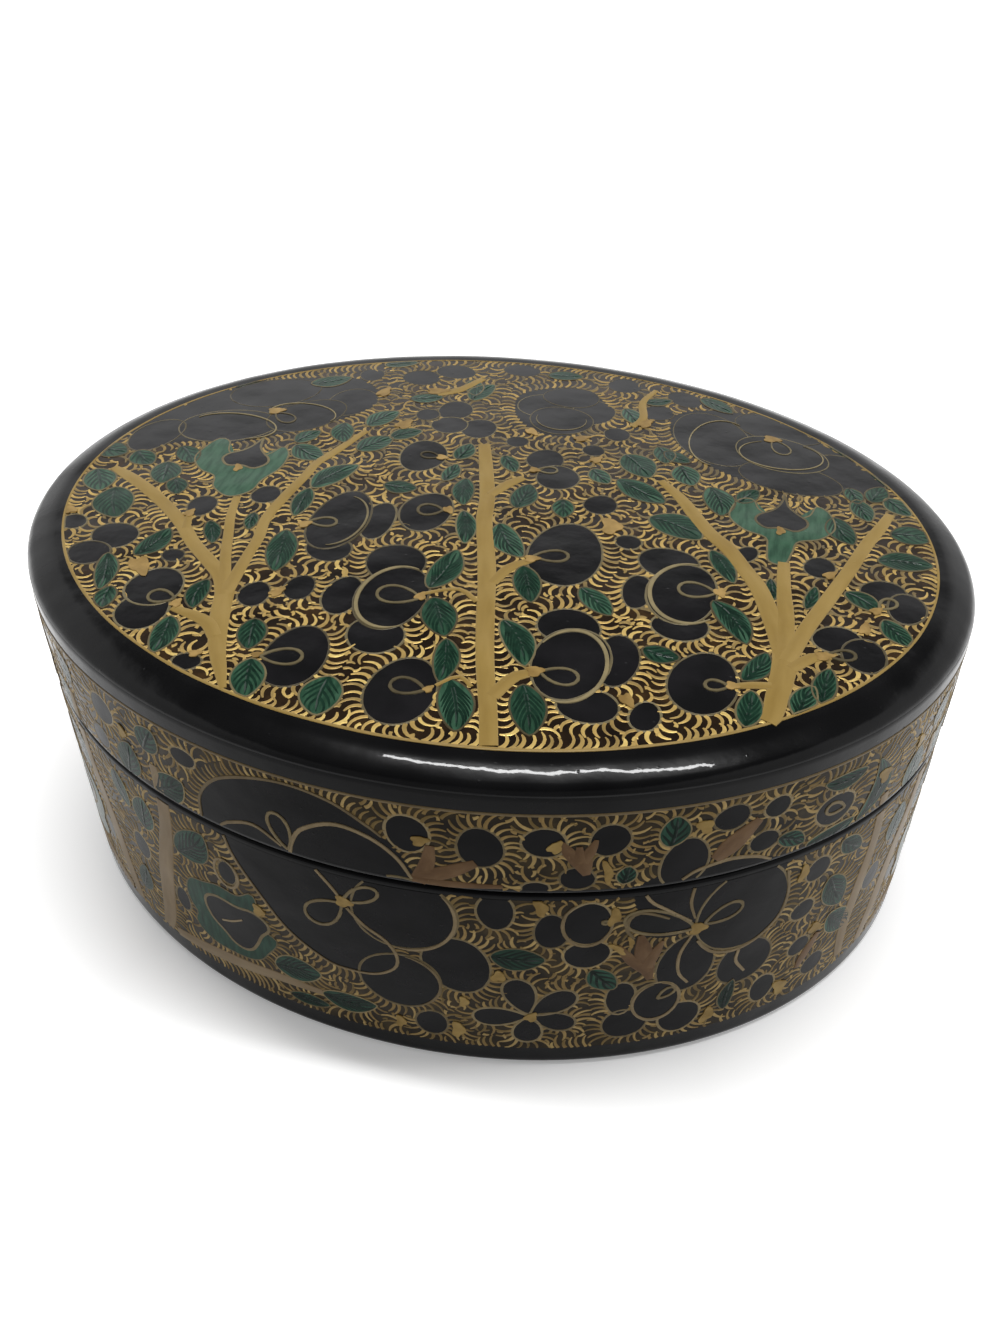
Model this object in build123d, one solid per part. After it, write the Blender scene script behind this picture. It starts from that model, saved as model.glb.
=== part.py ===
from build123d import *
from math import hypot
import os

# Oval lidded box of layered paper, built as hoops, boards and a liner.
#
# Units are millimetres. The origin is at the centre of the underside, +X runs
# along the long axis of the oval and +Z points up.
#
# The oval is laid out from four arcs by the draughtsman's four-centre
# construction: two small ones round the ends run smoothly into two large ones
# along the sides. Every inner line is an even offset of the outer one, so it
# has the same four centres, and walls and fits are even all the way round.
#
# The base is a hoop of wound paper glued on a flat oval board. A thinner hoop,
# the liner, stands on that board inside the outer hoop and rises above it as a
# lip. The lid is a second hoop under a thicker board whose edge is rounded
# over. The lid slips down over the lip, and its hoop comes to rest on the top
# edge of the base hoop.

# Outline of the oval, outside
box_length = 127.0
box_width = 101.6

# Base
base_board_thickness = 3.7
base_hoop_height = 29.7
foot_edge_radius = 1.2

# Lid
lid_hoop_height = 13.0
lid_hoop_thickness = 2.6
lid_board_thickness = 4.9
shoulder_radius = 3.8

# Liner and the lip that locates the lid
liner_thickness = 1.8
lip_height = 5.0
lip_edge_ease = 0.6
lid_clearance = 0.35

# Joints between the glued pieces
tongue_depth = 1.2
glue_line = 0.15

# Edges eased by sanding where lid and base meet, and the wider lead-in inside the lid that finds the lip
seam_edge_ease = 0.6
lead_in = 0.8

# Four-centre oval: the radii of its end and side arcs, and how far their centres lie from the middle
half_length = box_length / 2
half_width = box_width / 2
diagonal = hypot(half_length, half_width)
end_radius = diagonal * (diagonal - half_length + half_width) / box_length
side_radius = diagonal * (diagonal + half_length - half_width) / box_width
end_centre = half_length - end_radius
side_centre = side_radius - half_width

# The base hoop fills what the lid hoop, its clearance and the glue line leave outside the liner.
base_hoop_thickness = lid_hoop_thickness + lid_clearance - glue_line
liner_inset = base_hoop_thickness + glue_line
floor_level = base_board_thickness + tongue_depth
seam_level = base_board_thickness + base_hoop_height
lid_board_level = seam_level + lid_hoop_height

# How closely an arc must match a level and a radius to be picked for working
tolerance = 0.001


def oval(inset=0.0):
    """Oval outline of four tangent arcs, the outside one moved inwards by inset."""
    past_centre = (end_radius - inset) / (side_radius - end_radius)
    x = end_centre * (1 + past_centre)
    y = side_centre * past_centre
    tip = half_length - inset
    crest = half_width - inset
    with BuildSketch() as outline:
        with BuildLine():
            ThreePointArc((x, -y), (tip, 0), (x, y))
            ThreePointArc((x, y), (0, crest), (-x, y))
            ThreePointArc((-x, y), (-tip, 0), (-x, -y))
            ThreePointArc((-x, -y), (0, -crest), (x, -y))
        make_face()
    return outline.sketch


def oval_disc(inset, level, height):
    """Flat oval plate that stands on level."""
    return Pos(0, 0, level) * extrude(oval(inset), height)


def oval_hoop(outer_inset, thickness, level, height):
    """Upright oval hoop of even thickness that stands on level."""
    ring = oval(outer_inset) - oval(outer_inset + thickness)
    return Pos(0, 0, level) * extrude(ring, height)


def corners(solid, level, inset):
    """Arcs that lie on a level, along the oval that is this far in from the outside."""
    arcs = solid.edges().filter_by_position(Axis.Z, level - tolerance, level + tolerance)
    radii = (end_radius - inset, side_radius - inset)
    return [arc for arc in arcs if min(abs(arc.radius - radius) for radius in radii) < tolerance]


def base_board():
    """Floor of the box, with a tongue that drops inside the base hoop."""
    plate = oval_disc(0, 0, base_board_thickness)
    tongue = oval_disc(liner_inset, base_board_thickness, tongue_depth)
    board = plate + tongue
    return fillet(corners(board, 0, 0), foot_edge_radius)


def base_hoop():
    """Outer wall of the base. Its top edge carries the lid."""
    hoop = oval_hoop(0, base_hoop_thickness, base_board_thickness, base_hoop_height)
    return chamfer(corners(hoop, seam_level, 0), seam_edge_ease)


def liner():
    """Inner wall that stands on the floor and rises past the seam as the lip for the lid."""
    top = seam_level + lip_height
    hoop = oval_hoop(liner_inset, liner_thickness, floor_level, top - floor_level)
    rim = corners(hoop, top, liner_inset) + corners(hoop, top, liner_inset + liner_thickness)
    return chamfer(rim, lip_edge_ease)


def lid_hoop():
    """Side wall of the lid, with a lead-in that finds the lip."""
    hoop = oval_hoop(0, lid_hoop_thickness, seam_level, lid_hoop_height)
    hoop = chamfer(corners(hoop, seam_level, 0), seam_edge_ease)
    return chamfer(corners(hoop, seam_level, lid_hoop_thickness), lead_in)


def lid_board():
    """Top of the lid, rounded over at the shoulder, with a tongue inside the lid hoop."""
    plate = oval_disc(0, lid_board_level, lid_board_thickness)
    plate = fillet(corners(plate, lid_board_level + lid_board_thickness, 0), shoulder_radius)
    tongue = oval_disc(lid_hoop_thickness + glue_line, lid_board_level - tongue_depth, tongue_depth)
    return plate + tongue


pieces = {
    "base_board": base_board,
    "base_hoop": base_hoop,
    "liner": liner,
    "lid_hoop": lid_hoop,
    "lid_board": lid_board,
}

os.makedirs("parts", exist_ok=True)
for name, make in pieces.items():
    export_step(make(), f"parts/{name}.step")
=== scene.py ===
import bpy
import numpy as np
from mathutils import Matrix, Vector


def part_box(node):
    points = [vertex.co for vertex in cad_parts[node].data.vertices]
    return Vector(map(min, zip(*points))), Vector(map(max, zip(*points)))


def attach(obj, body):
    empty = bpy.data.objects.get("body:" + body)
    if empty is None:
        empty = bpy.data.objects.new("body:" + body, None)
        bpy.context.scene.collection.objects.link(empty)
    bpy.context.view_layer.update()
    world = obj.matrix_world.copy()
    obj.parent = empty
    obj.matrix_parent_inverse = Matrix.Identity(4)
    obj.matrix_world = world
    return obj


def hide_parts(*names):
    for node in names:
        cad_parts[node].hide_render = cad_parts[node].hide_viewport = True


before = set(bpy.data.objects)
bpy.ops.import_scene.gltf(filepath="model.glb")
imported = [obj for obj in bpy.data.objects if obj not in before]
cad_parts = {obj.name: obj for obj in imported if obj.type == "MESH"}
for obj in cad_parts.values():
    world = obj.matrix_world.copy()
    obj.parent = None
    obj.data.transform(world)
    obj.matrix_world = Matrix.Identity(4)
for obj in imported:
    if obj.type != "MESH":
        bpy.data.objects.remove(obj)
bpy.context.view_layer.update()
mm = 0.001  # everything is laid out in millimetres and scaled to metres when a mesh is made
rng = np.random.default_rng(19)


# Sizes are taken from the frame.
def nodeCorners(node):
    low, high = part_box(node)
    return np.array(low) / mm, np.array(high) / mm


hoopLow, hoopHigh = nodeCorners("base_hoop")
lidLow, lidHigh = nodeCorners("lid_hoop")
boardLow, boardHigh = nodeCorners("lid_board")
linerLow, linerHigh = nodeCorners("liner")
halfLength, halfWidth = hoopHigh[0], hoopHigh[1]
footTop = hoopLow[2]  # where the base hoop stands on its board
seam = lidLow[2]  # where the lid rests on the base
boardLevel = lidHigh[2]  # where the lid board lies on its hoop
lidTop = boardHigh[2]
floorLevel = linerLow[2]
lipTop = linerHigh[2]
tongueLevel = boardLow[2]
linerInset = halfLength - linerHigh[0]

form = {
    "skin": 0.24,  # lacquer stays this far inside the sizes above, which leaves room for the paint
    "wander": 0.1,  # how far the hand-formed wall wanders
    # the waves of its wandering: share, times round, start, and what a millimetre of height adds
    "waves": [(0.22, 2, 0.6, 0.03), (0.16, 5, 2.1, -0.05), (0.12, 11, 0.4, 0.11)],
    "crown": 0.3,  # fall of the lid from its middle to its edge
    "ripples": (0.02, 0.012),  # heights of the lid's broad and fine ripple
    "rippleRoom": 0.035,
    "shoulder": [(12, 3.0), (22, 4.0), (31, 11.0), (90, 2.5)],  # arcs: up to this tilt, with this radius
    "coat": 0.02,  # thickness of the wall's last coat
    "coatUpTo": 72,  # tilt at which the wall's coat ends on the shoulder
    "foot": 1.2,
    "eased": 0.65,  # worn edges either side of the seam
    "baseWall": 2.8,
    "lidWall": 2.6,
    "linerWall": 1.8,
    "lipRound": 0.5,
    "tongueGap": 0.1,
    "steps": 288,  # points round the oval
    "wallSteps": 8,  # rows up a wall
    "boardRings": (0.06, 0.985, 24),  # share of a board's first and last ring, and how many there are
}


# A point of the oval at turn t is (half length times cosine, half width times sine),
# and its normal has the two halves swapped.
def ovalPoint(t):
    return halfLength * np.cos(t), halfWidth * np.sin(t)


def ovalNormal(t):
    nx, ny = halfWidth * np.cos(t), halfLength * np.sin(t)
    size = np.hypot(nx, ny)
    return nx / size, ny / size


# The wall wanders inwards by a sum of sines of turn and height, kept between 0 and 1.
def handWave(t, z):
    waves = [share * np.sin(times * t + start + rise * z) for share, times, start, rise in form["waves"]]
    return 0.5 + sum(waves)


# A place on the wall is the oval point moved in along its normal by the inset, the skin and the wave.
def placeOnWall(t, inset, z):
    x, y = ovalPoint(t)
    nx, ny = ovalNormal(t)
    depth = inset + form["skin"] + form["wander"] * handWave(t, z)
    return x - nx * depth, y - ny * depth


# The lid falls from its middle with the square of the distance, and ripples a little.
def lidLevelAt(x, y):
    fall = form["crown"] * ((x / halfLength) ** 2 + (y / halfWidth) ** 2)
    broad, fine = form["ripples"]
    ripple = broad * np.sin(0.19 * x + 1.0) * np.cos(0.23 * y) + fine * np.sin(0.41 * x - 0.37 * y)
    return lidTop - form["skin"] - form["rippleRoom"] - fall + ripple


# Length along the outside of the oval from the middle of the front, and the turn it belongs to
turns = np.linspace(-np.pi * 1.5, np.pi * 0.5, 4001)
speed = np.hypot(halfLength * np.sin(turns), halfWidth * np.cos(turns))
lengths = np.concatenate([[0], np.cumsum((speed[1:] + speed[:-1]) / 2 * np.diff(turns))])
girth = lengths[-1]
lengths = lengths - np.interp(-np.pi / 2, turns, lengths)


def turnAt(s):
    return np.interp((s + girth / 2) % girth - girth / 2, lengths, turns)


# Paint is drawn flat as (across, up, height) and then laid on the lid or wrapped round the wall.
def layOnLid(flat):
    x, y, height = flat.T
    return np.stack([x, y, lidLevelAt(x, y) + height], 1)


def wrapOnWall(flat):
    s, z, height = flat.T
    x, y = placeOnWall(turnAt(s), -height, z)
    return np.stack([x, y, z], 1)


# A closed mesh, from points in millimetres and a list of arrays of triangles or quads
def makePiece(name, points, groups, material, body, uv=None, shade=None, sharp=35):
    groups = outwards(points, groups)
    mesh = bpy.data.meshes.new(name)
    corners = np.concatenate([g.ravel() for g in groups]).astype(np.int32)
    counts = np.concatenate([np.full(len(g), g.shape[1], np.int32) for g in groups])
    mesh.vertices.add(len(points))
    mesh.vertices.foreach_set("co", (points * mm).astype(np.float32).ravel())
    mesh.loops.add(len(corners))
    mesh.loops.foreach_set("vertex_index", corners)
    mesh.polygons.add(len(counts))
    mesh.polygons.foreach_set("loop_start", (np.cumsum(counts) - counts).astype(np.int32))
    mesh.polygons.foreach_set("use_smooth", np.ones(len(counts), bool))
    if uv is not None:
        layer = mesh.uv_layers.new(name="brush")
        layer.data.foreach_set("uv", uv[corners].astype(np.float32).ravel())
        tone = mesh.attributes.new("shade", "FLOAT", "POINT")
        tone.data.foreach_set("value", shade.astype(np.float32))
    mesh.update(calc_edges=True)
    mesh.validate()
    mesh.set_sharp_from_angle(angle=np.radians(sharp))
    mesh.materials.append(material)
    piece = bpy.data.objects.new(name, mesh)
    bpy.context.scene.collection.objects.link(piece)
    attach(piece, body)
    return piece


# Quads between neighbouring rows of a grid. Its rows close on themselves, and its last may meet its first.
def bandFaces(rows, around, closedAcross=False):
    i = np.arange(rows if closedAcross else rows - 1)[:, None]
    j = np.arange(around)[None, :]
    after, beside = (i + 1) % rows, (j + 1) % around
    quads = np.stack([i * around + j, after * around + j, after * around + beside, i * around + beside], -1)
    return quads.reshape(-1, 4)


# Fans that close the first and the last row of such a grid on two points that follow it
def capFaces(rows, around):
    j = np.arange(around)
    beside, last, tip = (j + 1) % around, (rows - 1) * around, 0 * j + rows * around
    return np.concatenate([np.stack([tip, j, beside], 1), np.stack([tip + 1, last + beside, last + j], 1)])


def split(quads):
    return np.concatenate([quads[:, [0, 1, 2]], quads[:, [0, 2, 3]]])


# Six times the volume under the triangles tells whether a closed mesh is inside out.
def outwards(points, groups):
    tris = np.concatenate([split(g) if g.shape[1] == 4 else g for g in groups])
    a, b, c = points[tris].transpose(1, 0, 2)
    volume = np.einsum("ij,ij->", a, np.cross(b, c))
    return [g[:, ::-1] if volume < 0 else g for g in groups]


# A corner rounded by part of a circle, as rows of (inset, height), from one angle to another
def roundedCorner(inset, z, radius, start, end, count=7):
    a = np.radians(np.linspace(start, end, count))
    return [(inset - radius * np.cos(k), z + radius * np.sin(k)) for k in a]


def wallRows(inset, start, end):
    return [(inset, level) for level in np.linspace(start, end, form["wallSteps"] + 1)]


# The shoulder runs out from the flat of the lid through its arcs, each from the last one's tilt to its own.
# It comes as rows of (out from where it starts, down from the top, tilt), and ends at the wall.
def shoulderRows(step=4.0):
    rows = [(0.0, 0.0, 0.0)]
    for end, radius in form["shoulder"]:
        tilt = rows[-1][2]
        for a in np.linspace(tilt, end, int(np.ceil((end - tilt) / step)) + 1)[1:]:
            out, fall, last = rows[-1]
            before, after = np.radians(last), np.radians(a)
            out += radius * (np.sin(after) - np.sin(before))
            fall += radius * (np.cos(before) - np.cos(after))
            rows.append((out, fall, float(a)))
    return np.array(rows)


# A shell carries a profile of (inset, height) rows round the oval. A board has two levels, a top and an
# underside: there its first and last row shrink towards the middle, where one point closes each.
def ovalShell(name, profile, material, body, levels=None, crowned=False):
    t = np.arange(form["steps"]) * 2 * np.pi / form["steps"]
    rows = [(1.0, inset, z) for inset, z in profile]
    if levels:
        shrink = np.linspace(*form["boardRings"])
        rows = [(k, *profile[0]) for k in shrink] + rows + [(k, *profile[-1]) for k in shrink[::-1]]
    share, inset, z = np.array(rows).T[..., None]
    z = z + 0 * t
    x, y = placeOnWall(t, inset, z)
    x, y = x * share, y * share
    if crowned:
        rise = np.clip((z - boardLevel) / (lidTop - boardLevel), 0, 1) ** 2
        z = z + rise * (lidLevelAt(x, y) - lidTop)
    points = np.stack([x, y, z], -1).reshape(-1, 3)
    faces = [bandFaces(len(rows), len(t), levels is None)]
    if levels:
        points = np.concatenate([points, [[0, 0, level] for level in levels]])
        faces.append(capFaces(len(rows), len(t)))
    return makePiece(name, points, faces, material, body)


def linear(code):
    value = np.array([int(code[i:i + 2], 16) for i in (0, 2, 4)]) / 255
    bright = np.where(value <= 0.04045, value / 12.92, ((value + 0.055) / 1.055) ** 2.4)
    return (*bright, 1.0)


# Inputs hold, by a socket's name or number, a plain value, an output socket, or a node for its first
# output. Stops are a ramp's positions, each with a hex colour or a level of grey. The first output is
# linked to the socket "to".
def addNode(tree, kind, inputs=None, stops=(), to=None, **settings):
    node = tree.nodes.new(kind)
    for key, value in settings.items():
        setattr(node, key, value)
    for key, value in (inputs or {}).items():
        value = value.outputs[0] if isinstance(value, bpy.types.Node) else value
        if isinstance(value, bpy.types.NodeSocket):
            tree.links.new(value, node.inputs[key])
        else:
            node.inputs[key].default_value = value
    for k, (position, colour) in enumerate(stops):
        stop = node.color_ramp.elements[k] if k < 2 else node.color_ramp.elements.new(position)
        stop.position = position
        stop.color = linear(colour) if isinstance(colour, str) else (colour, colour, colour, 1)
    if to is not None:
        tree.links.new(node.outputs[0], to)
    return node


def newMaterial(name, **values):
    material = bpy.data.materials.new(name)
    material.use_nodes = True
    tree = material.node_tree
    shader = tree.nodes["Principled BSDF"]
    for key, value in values.items():
        shader.inputs[key.replace("_", " ")].default_value = value
    place = addNode(tree, "ShaderNodeTexCoord").outputs["Object"]
    return material, tree, shader, place


varnish = {
    "swell": 7.0,  # mm between the swells that the brush leaves
    "swellHeight": 0.18,
    "drag": 1.5,  # mm between the finer drags
    "dragHeight": 0.018,
    "dust": 2.025,  # mm between specks caught in the varnish
    "dustHeight": 0.02,
}


# One clear varnish lies over lacquer and paint alike, so all of them share its swells, drags and specks.
def varnishOver(tree, shader, place, gloss):
    scale = {kind: 1 / (varnish[kind] * mm) for kind in ("swell", "drag", "dust")}
    swell = addNode(tree, "ShaderNodeTexNoise", {"Vector": place, "Scale": scale["swell"], "Detail": 1.0})
    drag = addNode(tree, "ShaderNodeTexNoise", {"Vector": place, "Scale": scale["drag"], "Detail": 2.0})
    speck = addNode(tree, "ShaderNodeTexVoronoi", {"Vector": place, "Scale": scale["dust"]})
    dust = addNode(tree, "ShaderNodeMapRange", {"Value": speck, "From Min": 0.1, "From Max": 0.0})
    under = {}
    for relief, height in ((swell, "swellHeight"), (drag, "dragHeight"), (dust, "dustHeight")):
        inputs = {"Height": relief, "Distance": varnish[height] * mm, **under}
        bump = addNode(tree, "ShaderNodeBump", inputs)
        under = {"Normal": bump}
    tree.links.new(bump.outputs["Normal"], shader.inputs["Normal"])
    spread = {"Value": swell, "From Min": 0.3, "From Max": 0.7, "To Min": gloss[0], "To Max": gloss[1]}
    addNode(tree, "ShaderNodeMapRange", spread, to=shader.inputs["Roughness"])
    return bump.outputs["Normal"]


# Black lacquer: lamp black in varnish, rubbed and varnished again, so it is deep and glossy
# and a shade lighter where the coat is thin.
def blackLacquer(name, shine, gloss, coat=0.0):
    material, tree, shader, place = newMaterial(
        name, IOR=1.5, Specular_IOR_Level=shine, Coat_Weight=coat, Coat_Roughness=0.04, Coat_IOR=1.5)
    cloud = addNode(tree, "ShaderNodeTexNoise", {"Vector": place, "Scale": 1 / (14 * mm), "Detail": 4.0})
    stops = [(0.35, "070708"), (0.7, "0e0e0f")]
    addNode(tree, "ShaderNodeValToRGB", {"Fac": cloud}, stops, shader.inputs["Base Color"])
    tree.links.new(varnishOver(tree, shader, place, gloss), shader.inputs["Coat Normal"])
    return material


# Inner lacquer: the same black brushed on once and left satin, with the strokes showing.
def satinLacquer():
    material, tree, shader, place = newMaterial(
        "satinInnerLacquer", IOR=1.5, Specular_IOR_Level=0.2, Roughness=0.38)
    around = addNode(tree, "ShaderNodeMapping", {"Vector": place, "Scale": (1.0, 1.0, 9.0)})
    strokes = addNode(tree, "ShaderNodeTexNoise", {"Vector": around, "Scale": 1 / (6 * mm), "Detail": 5.0})
    stops = [(0.3, "1e1c1a"), (0.75, "302c29")]
    addNode(tree, "ShaderNodeValToRGB", {"Fac": strokes}, stops, shader.inputs["Base Color"])
    addNode(tree, "ShaderNodeBump", {"Height": strokes, "Distance": 0.03 * mm}, to=shader.inputs["Normal"])
    return material


# The same paints were used on the lid and on the wall. The wall is varnished less, and its tones are darker
# copies of the lid's: painted shade, as the upright wall gets less light. So each surface has its own tones.
palette = {
    "lid": {
        "shine": 0.26,
        "gloss": (0.1, 0.18),
        "ground": [(0.3, "17110c"), (0.55, "261b10"), (0.8, "402d16")],
        "hatch": [(0.0, "6a5d42"), (0.2, "907846"), (0.52, "bb9c5a"), (0.82, "e2c678")],
        "hatchMetal": 0.35,
        "paintedBackShade": 0.32,  # painted shade: how much darker the hatch is painted at the back than at the front
        "line": [(0.2, "423a26"), (0.5, "5b5138"), (0.8, "73684a")],
        "ring": [(0.2, "625840"), (0.5, "7e7252"), (0.8, "9a8b66")],
        "trunk": [(0.3, "836a33"), (0.52, "8d743c"), (0.75, "957c45")],
        "knot": [(0.3, "7c6232"), (0.52, "8e7340"), (0.75, "a3854e")],
        "husk": [(0.3, "6b543c"), (0.52, "7a5f48"), (0.75, "876c52")],
        "leaf": [(0.25, "1e3528"), (0.48, "284534"), (0.75, "3b5a46")],
        "petal": [(0.35, "101011"), (0.7, "1a191b")],
        "vein": [(0.3, "0e2219"), (0.7, "183326")],
    },
    # wall tones: darker copies of the lid's paints, painted shade for the upright wall
    "wall": {
        "shine": 0.05,
        "gloss": (0.14, 0.24),
        "ground": [(0.3, "1a150f"), (0.55, "2c2416"), (0.8, "453821")],
        "hatch": [(0.2, "5a4b2c"), (0.5, "7c663e"), (0.8, "a08959")],
        "hatchMetal": 0.15,
        "paintedBackShade": 0.0,
        "line": [(0.2, "594e37"), (0.5, "6f6247"), (0.8, "837455")],
        "ring": [(0.2, "5c4f38"), (0.5, "716248"), (0.8, "86765a")],
        "trunk": [(0.3, "726148"), (0.52, "7d6c54"), (0.75, "86765e")],
        "knot": [(0.3, "7a6336"), (0.52, "8c7444"), (0.75, "98804c")],
        "husk": [(0.3, "533d28"), (0.52, "604932"), (0.75, "6c543b")],
        "leaf": [(0.25, "14291f"), (0.48, "1c382b"), (0.75, "284a3b")],
        "petal": [(0.35, "0b0b0c"), (0.7, "121113")],
        "vein": [(0.3, "08130e"), (0.7, "0e2018")],
    },
}


# Flat paints: umber ground, petal black and vein green, each cloudy at the size the brush leaves.
def cloudPaint(name, stops, look, size, detail):
    material, tree, shader, place = newMaterial(name, IOR=1.5, Specular_IOR_Level=look["shine"])
    inputs = {"Vector": place, "Scale": 1 / (size * mm), "Detail": detail}
    cloud = addNode(tree, "ShaderNodeTexNoise", inputs)
    addNode(tree, "ShaderNodeValToRGB", {"Fac": cloud}, stops, shader.inputs["Base Color"])
    varnishOver(tree, shader, place, look["gloss"])
    return material


# Bronze powder paint: gold strokes loaded unevenly, darker where thin. Towards the back it is painted darker,
# as painted shade.
def bronzePaint(name, stops, look, metallic, gloss, paintedBackShade=0.0):
    material, tree, shader, place = newMaterial(
        name, Metallic=metallic, IOR=1.5, Specular_IOR_Level=look["shine"])
    load = addNode(tree, "ShaderNodeTexNoise", {"Vector": place, "Scale": 1 / (1.6 * mm), "Detail": 4.0})
    tone = addNode(tree, "ShaderNodeAttribute", attribute_name="shade").outputs["Fac"]
    mixed = addNode(tree, "ShaderNodeMath", {0: load, 1: tone}, operation="ADD")
    half = addNode(tree, "ShaderNodeMath", {0: mixed, 1: 0.5}, operation="MULTIPLY")
    back = addNode(tree, "ShaderNodeSeparateXYZ", {"Vector": place}).outputs["Y"]
    # painted shade: the hatch tone falls from the front (y -44 mm) to the back (y 26 mm)
    backShadeRamp = addNode(tree, "ShaderNodeMapRange", {
        "Value": back, "From Min": -44 * mm, "From Max": 26 * mm, "To Max": paintedBackShade})
    kept = addNode(tree, "ShaderNodeMath", {0: half, 1: backShadeRamp}, operation="SUBTRACT")
    addNode(tree, "ShaderNodeValToRGB", {"Fac": kept}, stops, shader.inputs["Base Color"])
    varnishOver(tree, shader, place, gloss)
    return material


# Brushed paint: opaque colour with faint streaks along the stroke or from stalk to tip, and each
# stroke or leaf mixed a little lighter or darker.
def brushedPaint(name, stops, look, stretch, varied, gloss):
    material, tree, shader, place = newMaterial(name, IOR=1.5, Specular_IOR_Level=look["shine"])
    along = addNode(tree, "ShaderNodeUVMap", uv_map="brush")
    pulled = addNode(tree, "ShaderNodeMapping", {"Vector": along, "Scale": stretch})
    streak = addNode(tree, "ShaderNodeTexNoise", {"Vector": pulled, "Scale": 1.0, "Detail": 3.0})
    tone = addNode(tree, "ShaderNodeAttribute", attribute_name="shade").outputs["Fac"]
    varied = addNode(tree, "ShaderNodeMapRange", {"Value": tone, "To Min": -varied, "To Max": varied})
    mixed = addNode(tree, "ShaderNodeMath", {0: streak, 1: varied}, operation="ADD")
    addNode(tree, "ShaderNodeValToRGB", {"Fac": mixed}, stops, shader.inputs["Base Color"])
    varnishOver(tree, shader, place, gloss)
    return material


def surfacePaints(surface):
    look = palette[surface]
    satin, dull = (0.3, 0.42), (0.36, 0.48)
    made = {}
    for kind, name, size, detail in (
            ("ground", "UmberGround", 3.5, 5.0), ("petal", "PetalBlackPaint", 5.0, 3.0),
            ("vein", "VeinGreenPaint", 1.2, 2.0)):
        made[kind] = cloudPaint(surface + name, look[kind], look, size, detail)
    for kind, name, metallic, gloss, paintedBackShade in (
            ("hatch", "BronzeHatchPaint", look["hatchMetal"], dull, look["paintedBackShade"]),
            ("line", "BronzeLinePaint", 0.1, satin, 0.0), ("ring", "BronzeRingPaint", 0.1, satin, 0.0)):
        made[kind] = bronzePaint(surface + name, look[kind], look, metallic, gloss, paintedBackShade)
    for kind, name, stretch, varied, gloss in (
            ("trunk", "OchreTrunkPaint", (0.1, 0.5, 1.0), 0.05, satin),
            ("knot", "OchreKnotPaint", (0.6, 0.6, 1.0), 0.15, satin),
            ("husk", "HuskBrownPaint", (0.3, 0.6, 1.0), 0.1, satin),
            ("leaf", "LeafGreenPaint", (0.3, 1.4, 1.0), 0.16, look["gloss"])):
        made[kind] = brushedPaint(surface + name, look[kind], look, stretch, varied, gloss)
    return made


finish = {
    "black": blackLacquer("polishedBlackLacquer", 0.08, (0.2, 0.3), 0.22),
    "wallBlack": blackLacquer("wallBlackLacquer", 0.09, (0.1, 0.2)),
    "inner": satinLacquer(),
}
paints = {surface: surfacePaints(surface) for surface in palette}
print("materials", len(finish) + sum(len(each) for each in paints.values()))


def makeShells():
    e, coat, black = form["eased"], form["coat"], finish["wallBlack"]
    out, fall, tilt = shoulderRows().T
    inset, level = out[-1] - out, lidTop - fall
    over = tilt > form["coatUpTo"]  # where the wall's coat lies over the board, which draws back under it
    rows = list(zip(inset + coat * over, level)) + wallRows(coat, level[-1], boardLevel)[1:]
    rows += [(linerInset, boardLevel), (linerInset, tongueLevel)]
    levels = (lidLevelAt(0.0, 0.0), tongueLevel)
    board = ovalShell("lidBoardLacquer", rows, finish["black"], "lid", levels, True)
    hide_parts("lid_board")

    wall = form["lidWall"]
    rows = list(zip(inset[over], level[over])) + wallRows(0, level[-1], seam + e)[1:]
    rows += roundedCorner(e, seam + e, e, 0, -90)[1:] + [(wall - e, seam), (wall, seam + e)]
    rows += wallRows(wall, seam + 2 * e, boardLevel)
    hoop = ovalShell("lidHoopLacquer", rows, black, "lid", crowned=True)
    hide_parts("lid_hoop")

    f, tongue = form["foot"], linerInset + form["tongueGap"]
    rows = [(tongue, floorLevel), (tongue, footTop)] + wallRows(0, footTop, f)
    rows += roundedCorner(f, f, f, 0, -90)[1:]
    board = ovalShell("baseBoardLacquer", rows, black, "base", (floorLevel, 0.0))
    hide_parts("base_board")

    rows = wallRows(form["baseWall"], footTop, seam) + [(e, seam)]
    rows += roundedCorner(e, seam - e, e, 90, 0)[1:] + wallRows(0, seam - e, footTop)[1:]
    hoop = ovalShell("baseHoopLacquer", rows, black, "base")
    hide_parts("base_hoop")

    inside, q = linerInset + form["linerWall"], form["lipRound"]
    shoulder = lipTop - q
    rows = wallRows(linerInset, floorLevel, shoulder) + roundedCorner(linerInset + q, shoulder, q, 0, 90)[1:]
    rows += roundedCorner(inside - q, shoulder, q, 90, 180, 6) + wallRows(inside, shoulder, floorLevel)[1:]
    liner = ovalShell("linerLacquer", rows, finish["inner"], "base")
    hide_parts("liner")


makeShells()
print("shells made")

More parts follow.
